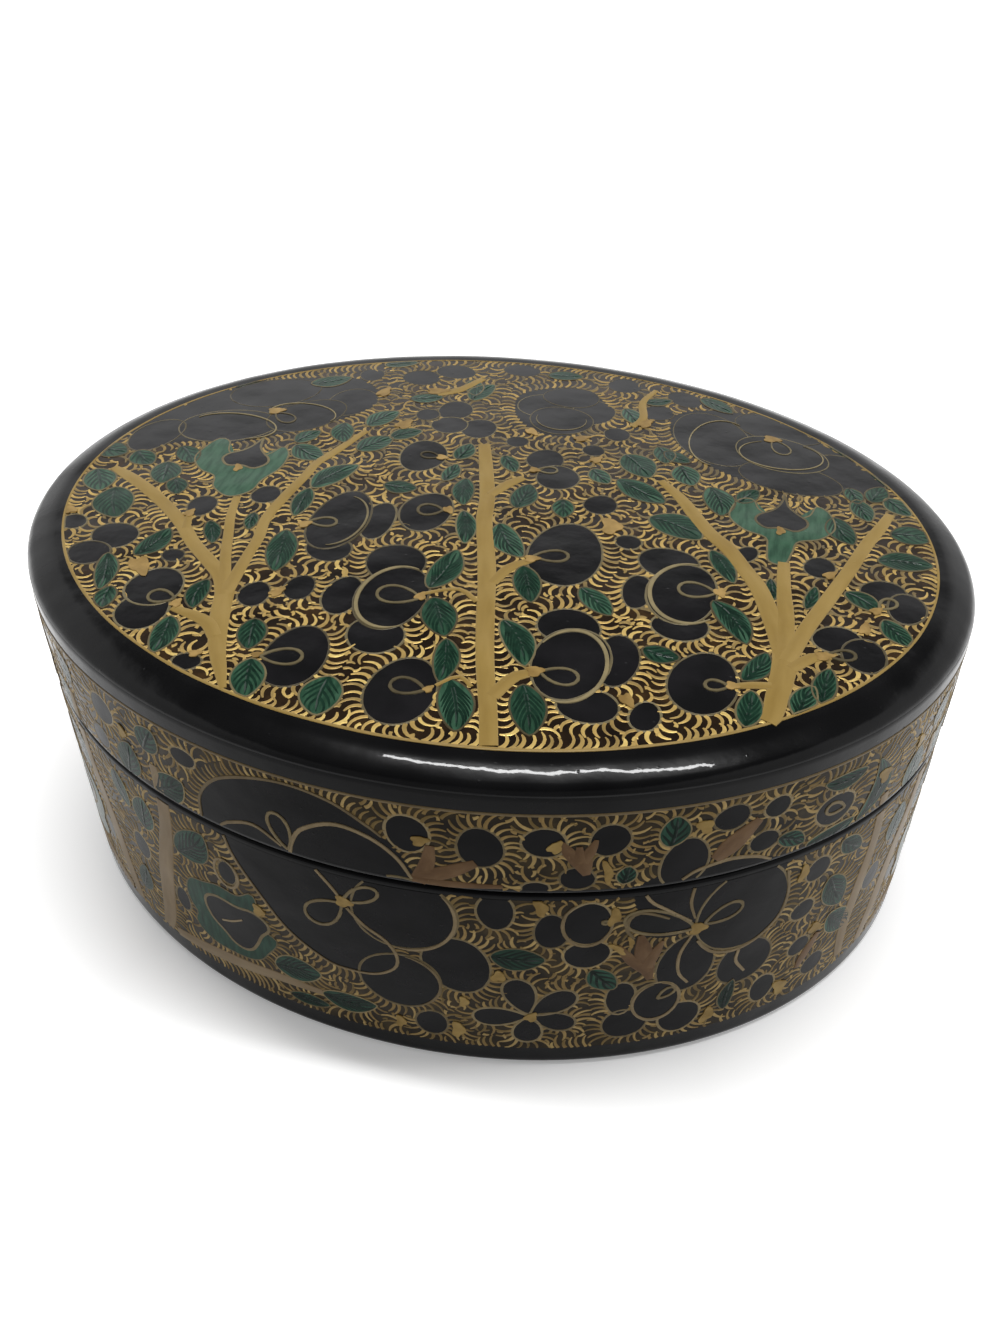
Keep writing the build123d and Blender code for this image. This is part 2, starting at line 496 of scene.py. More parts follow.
paint = {
    # heights above the lacquer
    "ground": 0.012,
    "petal": 0.034,  # the lowest petal of a flower
    "petalStep": 0.014,  # what each petal lies above those it covers
    "orders": 6,
    "borderLift": 0.07,
    "leaf": 0.085,
    "trunk": 0.09,
    "trunkStep": 0.0016,  # what each trunk lies above the last, so that they don't meet face to face
    "knot": 0.15,
    "ring": 0.135,
    "line": 0.01,  # what a thin line stands above what it is drawn on
    # widths
    "petalLine": {"lid": 0.38, "wall": 0.42},
    "behind": 0.35,  # share of their width that the lines on the lid keep at its back
    "leafLine": {"lid": 0.3, "wall": 0.24},
    "loopLine": 0.46,
    "vein": 0.42,
    "borderLine": 0.46,
    "wallBorderLine": 0.4,
    # millimetres between points along an outline or a line, and between the rings of a pad
    "steps": {
        "shadows": 1.0, "petals": 0.7, "cups": 0.7, "hearts": 0.6, "lines": 0.8, "leaves": 0.6,
        "strokes": 1.1, "cut": 1.2, "rings": 1.5,
    },
    "tooSmall": 0.3,  # what is left of a cut shape is dropped when it is narrower
    # places
    "fieldInset": 5.3,
    "lidLine": 46.2,
    "baseLine": 3.7,
    "seamLow": 32.45,
    "seamHigh": 34.25,
}
hatch = {
    "cell": 0.16,  # of the map that shows where there is paint
    "edgeStep": 0.8,
    "clear": 0.45,  # the edge a stroke stands on, which doesn't stop it
    "between": 0.12,
    "rows": 4,
    "measured": 0.4,  # how far out along a row its strokes are spaced
    "probed": 1.45,  # how far a stroke looks for room, in lengths of the longest
    "roomy": 1.4,  # the room it needs to be as long as the brush makes it
    "overlap": 0.1,  # how far it runs on over what stops it
    "filling": 0.55,  # how far a stroke in a bare patch grows either way, in lengths of the longest
    "shortest": 0.6,
    "lean": 0.15,
    "taper": np.array([1.2, 1.1, 1.0, 0.9, 0.75, 0.45]),
    "lift": 0.05,
    "lid": {"spacing": 1.0, "width": 0.47, "longest": 2.15, "bend": 0.22},
    "wall": {"spacing": 0.84, "width": 0.41, "longest": 2.1, "bend": 0.15},
}
# sections of strokes: across and up, as shares of half the width and of the height
thread = [(-1.0, 0.0), (-0.78, 1.0), (0.78, 1.0), (1.0, 0.0)]
tuft = [(-1.0, 0.0), (-0.62, 0.9), (0.1, 1.0), (0.7, 0.85), (1.0, 0.0)]
ribbon = [(-1.0, 0.0), (-0.93, 0.9), (-0.85, 1.0), (0.85, 1.0), (0.93, 0.9), (1.0, 0.0)]


# Points given as (u, v) from a place, turned about it by an angle in degrees
def turned(x, y, u, v, turn):
    c, s = np.cos(np.radians(turn)), np.sin(np.radians(turn))
    return np.stack([x + u * c - v * s, y + u * s + v * c], -1)


def unit(ways):
    return ways / np.maximum(np.linalg.norm(ways, axis=-1, keepdims=True), 1e-9)


# No two touches of a brush are alike: each gets a share of the size, from the least up by the spread.
def uneven(size, count, least, spread):
    return size * (least + spread * rng.random(count))


# Points at even steps along a path, whose extra columns follow along
def evenly(path, step, closed=False, least=2, counted=np.ceil):
    path = np.concatenate([path, path[:1]]) if closed else path
    walked = np.concatenate([[0], np.cumsum(np.hypot(*np.diff(path[:, :2], axis=0).T))])
    count = max(3 if closed else 2, least, int(counted(walked[-1] / step)))
    spots = np.linspace(0, walked[-1], count + 1)
    return np.stack([np.interp(spots[:-1] if closed else spots, walked, column) for column in path.T], 1)


# A curve through the given rows by Catmull-Rom, then walked in even steps
def smoothRows(rows, step=1.0, closed=False):
    rows = np.asarray(rows, float)
    ends = (rows[-1:], rows[:2]) if closed else (2 * rows[:1] - rows[1:2], 2 * rows[-1:] - rows[-2:-1])
    p = np.concatenate([ends[0], rows, ends[1]])
    u = np.linspace(0, 1, 12, endpoint=False)[None, :, None]
    a, b, c, d = p[:-3, None], p[1:-2, None], p[2:-1, None], p[3:, None]
    bend, twist = 2 * a - 5 * b + 4 * c - d, 3 * b - a - 3 * c + d
    dense = (0.5 * (2 * b + (c - a) * u + bend * u**2 + twist * u**3)).reshape(-1, rows.shape[1])
    return evenly(dense if closed else np.concatenate([dense, rows[-1:]]), step, closed, 4, np.round)


# Strokes: a low section is carried along each path; all paths given together have as many points.
def strokeSolids(paths, widths, lift, section=thread, closed=False):
    paths, widths = np.asarray(paths, float), np.asarray(widths, float)
    many, count, size = *paths.shape[:2], len(section)
    if closed:
        ahead = np.roll(paths, -1, 1) - np.roll(paths, 1, 1)
        step = np.linalg.norm(np.roll(paths, -1, 1) - paths, axis=2)
    else:
        ahead = np.gradient(paths, axis=1)
        step = np.linalg.norm(np.diff(paths, axis=1, prepend=paths[:, :1]), axis=2)
    ahead = unit(ahead)
    left = np.stack([-ahead[..., 1], ahead[..., 0]], -1)
    across, up = np.array(section).T
    out = widths[:, :, None] / 2 * across
    spots = paths[:, :, None] + left[:, :, None] * out[..., None]
    points = np.concatenate([spots, (lift * up + 0 * out)[..., None]], -1).reshape(-1, 3)
    uv = np.stack([np.cumsum(step, 1)[:, :, None] + 0 * out, out], -1).reshape(-1, 2)
    tris = [split(bandFaces(count, size, closed))]
    if not closed:
        fan, last = np.arange(1, size - 1), (count - 1) * size
        tris.append(np.stack([0 * fan, fan, fan + 1], 1))
        tris.append(np.stack([0 * fan + last, last + fan + 1, last + fan], 1))
    starts = np.arange(many)[:, None, None] * count * size
    tris = (starts + np.concatenate(tris)).reshape(-1, 3)
    return points, tris, uv, np.repeat(rng.random(many), count * size)


# A pad: the outline is filled by rings that shrink to its middle, with a rim down to the lacquer.
def padSolid(outline, middle, lift, rings, turn=0.0):
    share = np.append(np.linspace(0, 1, rings + 1)[1:], 1.0)[:, None, None]
    spots = middle + (outline - middle) * share
    height = np.full(spots.shape[:2], lift)
    height[-1] = 0.0
    points = np.concatenate([spots, height[..., None]], -1).reshape(-1, 3)
    points = np.concatenate([points, [(*middle, lift), (*middle, 0.0)]])
    tris = np.concatenate([split(bandFaces(rings + 1, len(outline))), capFaces(rings + 1, len(outline))])
    uv = turned(0, 0, *(points[:, :2] - middle).T, -turn) + rng.random(2) * 40
    return points, tris, uv, np.full(len(points), rng.random())


def joined(solids):
    points, tris, uv, shade = zip(*solids)
    starts = np.cumsum([0] + [len(each) for each in points[:-1]])
    tris = [each + start for each, start in zip(tris, starts)]
    return [np.concatenate(each) for each in (points, tris, uv, shade)]


# Ellipses whose radius swells as given at the angles
def lobes(rows, angles, swell):
    x, y, rx, ry, turn = np.asarray(rows, float).T[..., None]
    return turned(x, y, rx * np.cos(angles) * swell, ry * np.sin(angles) * swell, turn)


# A brush never draws a true ellipse: a petal's radius swells by two small seeded sines.
def petalOutlines(rows, count=40):
    a = np.arange(count) * 2 * np.pi / count
    phase = rng.random((len(rows), 2)) * 2 * np.pi
    return lobes(rows, a, 1 + 0.025 * np.sin(2 * a + phase[:, :1]) + 0.02 * np.sin(3 * a + phase[:, 1:]))


# A knot is a small calyx: its radius swells three times and, less, five times round.
def knotOutlines(rows, count=20):
    a = np.arange(count) * 2 * np.pi / count
    return lobes(rows, a, 0.82 * (1 + 0.2 * np.cos(3 * a) + 0.1 * np.cos(5 * a + 0.7)))


# A leaf's half width follows the sine of its length, fuller towards the stalk, and its midrib bows.
# The side veins leave the midrib at a sharp angle and run beside it towards the tip.
def leafForm(x, y, length, width, turn, bow=None):
    bow = (rng.random() - 0.5) * 0.16 if bow is None else bow

    def spot(t, side):
        half = width / 2 * np.sin(np.pi * np.clip(t, 0, 1) ** 0.9) ** 0.66
        v = side * half + bow * length * (1 - (2 * t - 1) ** 2)
        return turned(x, y, (t - 0.5) * length, v, turn)

    t = (1 - np.cos(np.linspace(0, np.pi, 15))) / 2
    outline = np.concatenate([spot(t, -1.0)[:-1], spot(t[::-1], 1.0)[:-1]])
    midrib = spot(np.linspace(0.03, 0.92, 7), 0.0)
    veins = [np.column_stack([midrib, [0.3, 0.55, 0.6, 0.56, 0.5, 0.4, 0.15]])]
    k = np.linspace(0, 1, 6)
    taper = paint["vein"] * np.array([1.1, 1.1, 1, 0.9, 0.75, 0.3])
    for start in np.linspace(0.03, 0.56, max(3, int(round(length / 1.55)))):
        for side in (-1, 1):
            veins.append(np.column_stack([spot(start + 0.4 * k, side * 0.82 * k**0.85), taper]))
    return anticlockwise(outline), veins


# A loop runs from its pinched root round a full end and back. The way out follows one plus the cosine of
# the angle, and the half width follows its sine, drawn in towards the root by a power of the way out.
def loopPath(x, y, length, width, turn, count=33):
    a = np.linspace(np.pi, -np.pi, count)
    out = (1 + np.cos(a)) / 2
    return turned(x, y, length * out, width / 2 * np.sin(a) * out**0.35 * 1.08, turn)


# A map of cells that are free, painted over, or combed already
class PaintMap:
    def __init__(self, low, high, wraps, comb):
        self.low, self.cell, self.wraps, self.comb = np.array(low), hatch["cell"], wraps, comb
        self.shape = tuple(int(np.ceil((h - l) / self.cell)) for l, h in zip(low, high))[::-1]
        self.taken = np.zeros(self.shape, bool)

    def cells(self, spots):
        column = np.floor((spots[..., 0] - self.low[0]) / self.cell).astype(int)
        row = np.floor((spots[..., 1] - self.low[1]) / self.cell).astype(int)
        column = column % self.shape[1] if self.wraps else np.clip(column, 0, self.shape[1] - 1)
        return np.clip(row, 0, self.shape[0] - 1), column

    # A cell is inside an outline when a line to its right crosses the outline an odd number of times.
    def stamp(self, outline):
        low = np.floor((outline.min(0) - self.low) / self.cell).astype(int) - 1
        high = np.ceil((outline.max(0) - self.low) / self.cell).astype(int) + 1
        columns, rows = np.arange(low[0], high[0]), np.arange(max(low[1], 0), min(high[1], self.shape[0]))
        x = self.low[0] + (columns + 0.5) * self.cell
        y = (self.low[1] + (rows + 0.5) * self.cell)[:, None]
        inside = np.zeros((len(rows), len(columns)), bool)
        for (ax, ay), (bx, by) in zip(outline, np.roll(outline, -1, 0)):
            if ay != by:
                inside ^= ((ay > y) != (by > y)) & (x < (bx - ax) * (y - ay) / (by - ay) + ax)
        columns = columns % self.shape[1] if self.wraps else np.clip(columns, 0, self.shape[1] - 1)
        self.taken[np.ix_(rows, columns)] |= inside


# A comb is a row of short strokes that stand on an edge and run out along its normal, until they
# meet paint or another comb, or are as long as the brush makes them.
def combStrokes(field, edge, row, closed):
    comb = field.comb
    ahead = unit(np.roll(edge, -1, 0) - np.roll(edge, 1, 0) if closed else np.gradient(edge, axis=0))
    normal = np.stack([ahead[:, 1], -ahead[:, 0]], 1)
    base = row * (comb["longest"] + hatch["between"])
    ring = edge + normal * (base + hatch["measured"])
    step = np.hypot(*np.diff(ring, axis=0, append=ring[:1]).T)
    walked = np.concatenate([[0], np.cumsum(step if closed else step[:-1])])
    count = max(1, int(walked[-1] / comb["spacing"]))
    spots = (np.arange(count) + 0.3 * rng.random(count)) * walked[-1] / count
    columns = np.concatenate([edge, normal], 1)
    columns = np.concatenate([columns, columns[:1]]) if closed else columns
    found = np.stack([np.interp(spots, walked, column) for column in columns.T], 1)
    foot, way = found[:, :2], unit(found[:, 2:])
    side = np.stack([-way[:, 1], way[:, 0]], 1)
    stride = field.cell / 1.6
    first = int(hatch["clear"] / stride)
    probe = np.arange(0, hatch["probed"] * comb["longest"], stride)
    probed = foot[:, None] + way[:, None] * (base + probe[None, :, None])
    blocked = field.taken[field.cells(probed)][:, first:]
    run = np.where(blocked.any(1), blocked.argmax(1) + first, len(probe)) * stride
    run[blocked[:, 0]] = 0
    full = run > hatch["roomy"] * comb["longest"]
    reach = np.where(full, uneven(comb["longest"], count, 0.9, 0.2), run + hatch["overlap"])
    keep = reach > hatch["shortest"]
    reach, foot, way, side = reach[keep, None, None], foot[keep, None], way[keep, None], side[keep, None]
    k = np.linspace(0, 1, len(hatch["taper"]))[None, :, None]
    lean, bend = rng.normal(0, hatch["lean"]), rng.choice([-1, 1]) * comb["bend"]
    sway = bend * reach * (1 - (2 * k - 1) ** 2) + lean * k * reach
    spread = np.linspace(-0.5, 0.5, 7)[None, None, :, None] * comb["spacing"]
    along = base + np.linspace(0, 1, 24)[None, :, None, None] * reach[:, :, None]
    field.taken[field.cells(foot[:, :, None] + way[:, :, None] * along + side[:, :, None] * spread)] = True
    return foot + way * (base + k * reach) + side * sway


# Patches that the combs left bare get strokes of their own, drawn the way the nearest one runs. Each grows
# both ways from a bare cell until it meets paint.
def fillStrokes(field, paths):
    comb = field.comb
    rows, columns = np.nonzero(~field.taken)
    order = rng.permutation(len(rows))
    spots = field.low + (np.stack([columns, rows], 1)[order] + 0.5) * field.cell
    middles, ways = paths[:, 2], unit(paths[:, -1] - paths[:, 0])
    off = middles - paths[:, 0]
    bows = np.where(ways[:, 0] * off[:, 1] > ways[:, 1] * off[:, 0], comb["bend"], -comb["bend"])
    stride = field.cell * 0.7
    probe = np.arange(1, int(hatch["filling"] * comb["longest"] / stride) + 1) * stride
    k = np.linspace(0, 1, len(hatch["taper"]))[:, None]
    spread = np.linspace(-0.45, 0.45, 7)[None, :, None] * comb["spacing"]
    made = []
    for spot in spots:
        if field.taken[field.cells(spot)]:
            continue
        nearest = np.argmin(np.sum((middles - spot) ** 2, 1))
        way = ways[nearest]
        side = np.array([-way[1], way[0]])
        reach = []
        for turn in (-1, 1):
            blocked = field.taken[field.cells(spot + turn * way * probe[:, None])]
            reach.append(blocked.argmax() * stride if blocked.any() else probe[-1])
        long = sum(reach)
        start = spot - way * reach[0]
        swept = start + way * np.linspace(0, 1, 14)[:, None] * long
        field.taken[field.cells(swept[:, None] + side * spread)] = True
        if long > hatch["shortest"]:
            sway = bows[nearest] * long * (1 - (2 * k - 1) ** 2)
            made.append(start + way * k * long + side * sway)
    return np.array(made).reshape(-1, len(k), 2)


# Every edge gets its first comb before any gets a second, so each motif keeps its own fringe.
def combAll(field, edges):
    rows = [combStrokes(field, edge, row, closed) for row in range(hatch["rows"]) for edge, closed in edges]
    paths = np.concatenate(rows)
    paths = np.concatenate([paths, fillStrokes(field, paths)])
    paths = paths[~field.beyond[field.cells(paths[:, 2:4])].any(1)]
    return paths, uneven(field.comb["width"] * hatch["taper"], (len(paths), 1), 0.82, 0.36)


# The painter's motifs for the lid, in millimetres from its middle
lidMotifs = {
    # dark petals and discs: across, up, half width, half height, turn
    "petals": [
        (-46.1, -17.6, 3.2, 3.0, 0), (-47.5, -22.0, 2.8, 2.7, 0), (-35.2, -31.6, 3.2, 3.9, 0),
        (-35.9, -26.8, 3.7, 3.9, 0), (-38.1, -8.2, 2.0, 2.7, 0), (-30.8, -3.5, 2.1, 2.3, 0),
        (-23.4, -25.3, 2.0, 2.7, 0), (-18.5, -22.7, 2.0, 2.6, 0), (-53.0, -15.9, 1.9, 1.8, 0),
        (-36.7, -20.0, 1.6, 1.4, 0), (-25.9, -39.2, 1.8, 1.6, 0), (-14.2, -35.3, 3.9, 5.6, 0),
        (-0.6, -38.1, 4.2, 5.7, 0), (-8.6, -14.8, 3.9, 4.2, 0), (-12.9, -22.9, 2.4, 4.1, 0),
        (-6.5, -29.4, 3.6, 3.4, 0), (-6.9, -21.8, 4.4, 6.7, 0), (-13.9, -6.0, 2.3, 4.6, 0),
        (-17.9, -13.9, 3.1, 2.8, 0), (-18.9, -7.0, 4.0, 7.2, 0), (-8.3, -2.3, 3.5, 5.0, 0),
        (11.8, -7.5, 4.9, 7.2, 0), (24.9, -6.2, 4.0, 3.4, 0), (22.0, -13.3, 2.0, 3.6, 0),
        (28.0, -19.0, 3.5, 2.8, 0), (27.4, -12.3, 4.3, 6.5, 0), (15.2, -22.2, 3.9, 3.4, 0),
        (21.8, -27.0, 2.6, 4.8, 0), (20.0, -35.6, 3.5, 2.9, 0), (16.7, -28.8, 4.5, 6.7, 0),
        (31.8, -28.6, 4.0, 5.6, 0), (26.3, -35.7, 1.8, 2.5, 0), (46.2, -16.9, 3.0, 2.7, 0),
        (49.3, -19.1, 2.6, 3.2, 0), (51.5, -5.8, 2.9, 2.6, 0), (54.2, -8.6, 2.4, 3.2, 0),
        (43.6, -2.4, 2.1, 2.4, 0), (34.2, -1.9, 1.5, 2.2, -30), (19.2, -2.8, 1.8, 1.7, 0),
        (14.1, 5.2, 2.4, 2.4, 0), (4.3, 15.2, 2.8, 2.9, 0), (7.0, 10.8, 3.1, 3.3, 0),
        (10.5, 19.6, 1.7, 1.6, 0), (13.0, 25.2, 2.0, 2.0, 0), (-0.8, 19.4, 1.7, 1.6, 0),
        (-13.0, 12.0, 3.5, 4.4, 0), (-12.2, 26.6, 2.7, 3.0, 0), (-15.9, 24.2, 1.8, 1.9, 0),
        (-7.3, 21.8, 2.8, 2.9, 0), (-11.8, 21.8, 2.8, 2.6, 0), (0.2, 31.4, 3.6, 3.8, 0),
        (8.4, 31.2, 3.4, 3.8, 0), (4.2, 35.2, 4.4, 3.4, 0), (4.1, 27.4, 4.8, 4.4, 0),
        (-41.0, 25.4, 7.2, 4.6, 32), (-28.4, 25.2, 3.8, 4.6, -20), (-53.0, 8.4, 3.4, 5.2, -12),
        (-33.6, 19.4, 6.4, 4.4, 48), (-43.8, 13.6, 7.8, 4.8, 22), (27.0, 27.6, 5.6, 8.2, 32),
        (46.4, 21.6, 5.0, 6.2, 38), (36.4, 33.2, 7.2, 4.2, -14), (38.6, 18.9, 7.6, 4.0, -12),
        (37.0, 25.4, 6.8, 4.9, -18), (-20.4, 36.0, 3.0, 2.7, 0), (-15.6, 39.4, 3.2, 2.5, 0),
        (18.0, 33.6, 2.5, 2.4, 0), (21.5, 39.0, 3.2, 2.2, -30), (11.6, 41.4, 2.8, 2.4, 0),
        (-5.4, 42.6, 3.0, 2.2, 0), (-28.4, 35.0, 2.0, 2.2, 0),
    ],
    # dark shapes under the great flowers at the back: closed rows of across, up
    "shadows": [
        [(-56.4, 6.0), (-52.0, 5.2), (-47.6, 7.6), (-41.4, 8.8), (-36.0, 12.4), (-31.6, 16.4),
         (-27.4, 20.4), (-25.0, 24.6), (-25.6, 29.6), (-29.6, 33.0), (-35.0, 32.4), (-41.0, 30.4),
         (-47.0, 27.4), (-51.6, 21.6), (-55.4, 15.0), (-57.0, 10.0)],
        [(20.2, 31.4), (21.0, 26.8), (24.0, 22.2), (28.4, 18.8), (33.4, 16.4), (39.0, 15.2), (45.0, 16.0),
         (49.4, 18.8), (51.4, 22.0), (49.4, 27.0), (44.0, 31.6), (38.0, 35.0), (31.0, 36.8), (25.0, 36.4),
         (21.4, 34.6)],
        [(-3.8, 30.6), (-2.4, 26.6), (1.4, 23.0), (6.0, 22.8), (8.4, 26.6), (11.6, 30.0), (9.0, 35.6),
         (4.2, 38.8), (-1.4, 36.6), (-3.8, 34.0)],
    ],
    # broad gold rings and arcs: across, up, half width, half height, from, to, line
    "rings": [
        (-6.5, -21.6, 4.6, 6.3, 75, 300, 0.55), (28.2, -12.0, 4.8, 6.2, 85, 310, 0.6),
        (16.6, -29.3, 4.3, 6.5, -100, 150, 0.55), (-19.3, -7.2, 3.9, 6.1, -80, 85, 0.34),
        (-43.0, 13.6, 6.6, 3.8, -60, 160, 0.36), (-34.4, 19.6, 5.2, 3.4, -20, 200, 0.34),
        (37.0, 25.2, 6.0, 4.0, 120, 420, 0.36), (28.2, 26.6, 4.6, 7.0, 60, 260, 0.34),
        (4.1, 27.6, 3.8, 3.2, 170, 380, 0.34),
    ],
    # drop-shaped loops: root across, root up, length, width, turn
    "loops": [
        (-3.5, -21.2, 5.4, 3.9, 180), (1.9, -37.4, 4.0, 3.0, 176), (-18.0, -36.3, 4.8, 3.2, 12),
        (-32.4, -28.6, 3.4, 2.8, 178), (-6.2, -1.4, 3.4, 3.0, 190), (-22.6, -8.4, 3.6, 2.4, 10),
        (8.0, -9.0, 4.4, 2.8, 14), (31.4, -11.2, 4.6, 3.4, 180), (13.7, -31.2, 4.4, 3.2, -4),
        (34.6, -28.5, 2.6, 2.0, 185), (45.2, -20.1, 3.2, 2.1, 14), (51.0, -9.4, 2.8, 2.1, 52),
        (3.8, 12.2, 2.8, 1.9, 10), (-10.6, 12.2, 2.8, 1.9, 176), (-38.4, 19.0, 4.0, 2.8, -30),
        (35.6, 29.4, 4.4, 2.8, -60),
    ],
    # gold knots at stalks: across, up, half length, half width, turn
    "knots": [
        (-3.5, -20.9, 1.0, 0.8, 80), (2.3, -37.2, 0.8, 0.6, 60), (-18.5, -36.2, 0.8, 0.6, 40),
        (-31.8, -29.4, 1.0, 0.8, 80), (-5.5, -1.2, 1.1, 0.8, -50), (-23.0, -9.2, 1.1, 0.9, 40),
        (7.9, -9.7, 1.2, 0.9, 20), (31.9, -11.0, 1.1, 0.9, -60), (13.1, -31.3, 1.2, 1.1, 30),
        (35.0, -28.3, 0.9, 0.8, 0), (44.8, -20.4, 1.3, 0.9, 20), (50.6, -10.0, 1.0, 0.8, 50),
        (24.0, -33.6, 1.4, 0.9, -50), (49.3, -14.0, 1.5, 0.8, 85), (-39.7, -23.2, 2.5, 1.5, -48),
        (-20.8, -24.4, 1.3, 0.8, 60), (-25.5, -37.7, 0.9, 0.7, 30), (-54.9, -13.5, 1.2, 1.1, 0),
        (-38.9, -10.4, 1.1, 0.8, 80), (44.9, -3.8, 1.2, 0.8, 50), (16.4, 0.3, 1.6, 2.3, 12),
        (11.4, 17.0, 1.2, 0.9, 60), (-37.4, 2.2, 0.7, 1.2, 10), (38.2, 4.8, 0.7, 1.2, 0),
        (3.4, 12.0, 0.9, 0.8, 0), (-10.2, 12.1, 1.0, 0.8, 0), (-38.6, 19.6, 1.5, 1.1, 30),
        (35.4, 29.6, 1.5, 1.1, 0), (-18.4, 20.2, 1.8, 1.3, 70), (16.6, 29.6, 1.8, 1.1, 60),
        (-16.6, 32.0, 2.0, 1.2, 20), (-24.6, 29.6, 1.9, 1.1, 80), (8.2, 22.6, 1.5, 0.9, 40),
        (0.6, 22.8, 1.4, 0.9, -40),
    ],
    # leaves: across, up, length, width, turn
    "leaves": [
        (-23.8, -15.7, 9.4, 4.0, -78), (-25.3, -4.1, 7.2, 2.8, -86), (-29.8, -26.9, 6.0, 2.8, -84),
        (-30.8, -35.3, 7.0, 3.3, -82), (-40.6, -17.8, 7.0, 3.5, 76), (-43.6, -25.3, 8.0, 2.9, -70),
        (-40.6, -30.2, 4.5, 2.7, -76), (-49.8, -10.2, 8.0, 5.6, -62), (-55.0, -5.4, 6.2, 4.6, -58),
        (-46.9, -1.4, 6.0, 4.4, -74), (-34.2, -13.9, 5.5, 2.3, -62), (-30.1, -10.2, 4.2, 1.9, -78),
        (-20.6, -32.7, 5.8, 3.5, -76), (-17.9, -40.2, 6.8, 4.0, -74), (-8.7, -41.0, 6.6, 4.8, -84),
        (-2.4, -14.5, 9.0, 4.0, 82), (-0.2, -24.2, 7.8, 4.3, -64), (2.5, -31.9, 7.8, 3.1, -80),
        (5.6, -39.0, 8.6, 4.1, -70), (-2.4, -4.7, 8.0, 2.8, -74), (4.3, -6.2, 8.4, 4.0, -56),
        (8.5, -15.1, 7.8, 3.5, -70), (17.4, -16.6, 6.6, 3.3, -46), (9.6, -26.8, 9.0, 3.7, -60),
        (13.6, -37.8, 8.4, 4.1, -72), (26.5, -24.6, 4.6, 3.1, -10), (31.6, -5.3, 7.5, 2.7, -62),
        (33.6, -16.6, 9.0, 3.6, -58), (37.2, -24.2, 6.2, 2.9, 68), (37.1, -31.6, 6.2, 3.0, 88),
        (43.2, -28.9, 6.0, 3.0, 78), (45.2, -25.6, 6.4, 2.8, 84), (48.9, -8.5, 5.2, 3.1, -38),
        (53.1, -13.8, 5.6, 3.1, -54), (38.1, -8.6, 4.6, 1.5, -80), (42.8, -9.2, 5.2, 1.7, 80),
        (17.4, 16.8, 7.2, 5.0, -52), (18.9, 10.1, 8.6, 4.4, -32), (24.7, 2.1, 8.2, 5.4, -26),
        (24.5, 15.9, 5.6, 4.1, -66), (29.2, 10.1, 7.4, 4.3, -72), (3.4, 4.8, 6.6, 3.7, 86),
        (9.4, 3.0, 4.6, 3.1, -78), (-0.4, 12.8, 5.0, 2.6, -58), (-4.6, 3.9, 7.0, 3.1, -78),
        (46.3, 7.0, 6.6, 3.7, -66), (48.7, 12.8, 5.6, 3.1, -70), (53.4, 15.0, 5.0, 3.4, -50),
        (55.0, 7.9, 5.4, 4.4, 0), (54.2, 1.4, 7.0, 4.1, 4), (-23.2, 3.4, 8.6, 4.1, 60),
        (-20.8, 13.6, 6.2, 4.2, 52), (-26.3, 15.7, 6.0, 3.5, -72), (-29.3, 8.9, 6.0, 4.2, -30),
        (-22.0, 21.2, 6.4, 3.8, 60), (-13.6, 3.0, 4.8, 3.3, 0), (-7.9, 8.4, 5.0, 2.5, 84),
        (-56.9, 2.4, 4.6, 4.2, 0), (-51.6, 1.8, 4.8, 3.8, -40), (-17.6, 29.4, 5.2, 3.0, 20),
        (-34.0, 31.4, 6.6, 3.6, 34), (-25.0, 40.0, 5.6, 2.8, 24), (-9.6, 33.4, 6.4, 3.6, 70),
        (14.2, 31.4, 5.4, 3.0, -60), (26.4, 38.2, 6.4, 3.0, -34), (1.8, 42.4, 5.8, 3.0, 8),
        (17.4, 37.4, 4.6, 2.4, 20), (47.6, 29.4, 5.4, 2.8, -48), (-46.0, 4.0, 5.4, 3.4, -50),
        (-31.0, 13.2, 4.8, 3.0, 60), (-43.8, -4.4, 4.6, 3.0, -60), (12.8, 12.6, 4.6, 3.0, -50),
        (20.4, 20.8, 5.0, 3.2, -70), (-7.6, 14.6, 5.0, 3.0, 80), (50.6, 17.6, 4.8, 3.2, 70),
        (47.4, 16.4, 4.2, 2.6, -70), (33.4, 12.6, 4.6, 2.8, 60), (-17.2, 17.4, 5.2, 3.2, 40),
        (-11.4, 34.6, 5.4, 3.0, -70), (-49.6, 29.0, 4.4, 2.4, 44), (52.6, 22.0, 4.4, 2.6, -66),
        (22.6, 20.8, 4.6, 2.8, -30),
    ],
    # trunks and branches: rows of across, up, width
    "trunks": [
        [(-19.9, -42.6, 0.8), (-21.4, -39.8, 1.5), (-23.1, -36.8, 2.0), (-24.9, -32.6, 2.4),
         (-26.4, -28.0, 2.5), (-27.4, -24.4, 2.4)],
        [(-26.9, -26.2, 2.4), (-28.8, -22.8, 2.3), (-31.6, -20.2, 2.1), (-35.5, -16.7, 2.0),
         (-38.9, -12.9, 2.0), (-42.8, -9.4, 2.0), (-47.7, -5.7, 2.0), (-51.8, -3.2, 1.9),
         (-54.6, -1.8, 1.2)],
        [(-28.0, -23.6, 1.6), (-30.2, -18.4, 1.5), (-31.8, -13.9, 1.4), (-33.4, -9.4, 1.3),
         (-34.4, -5.0, 1.1)],
        [(-26.9, -25.4, 1.9), (-27.4, -18.4, 1.6), (-27.7, -13.5, 1.6), (-28.5, -9.4, 1.6),
         (-28.2, -4.0, 1.6), (-27.4, 2.5, 1.5), (-27.1, 6.2, 1.4), (-25.6, 10.2, 1.4), (-23.3, 17.0, 1.0)],
        [(-24.6, -34.2, 1.8), (-26.6, -31.9, 1.9), (-29.3, -30.9, 1.6), (-31.9, -30.3, 1.0)],
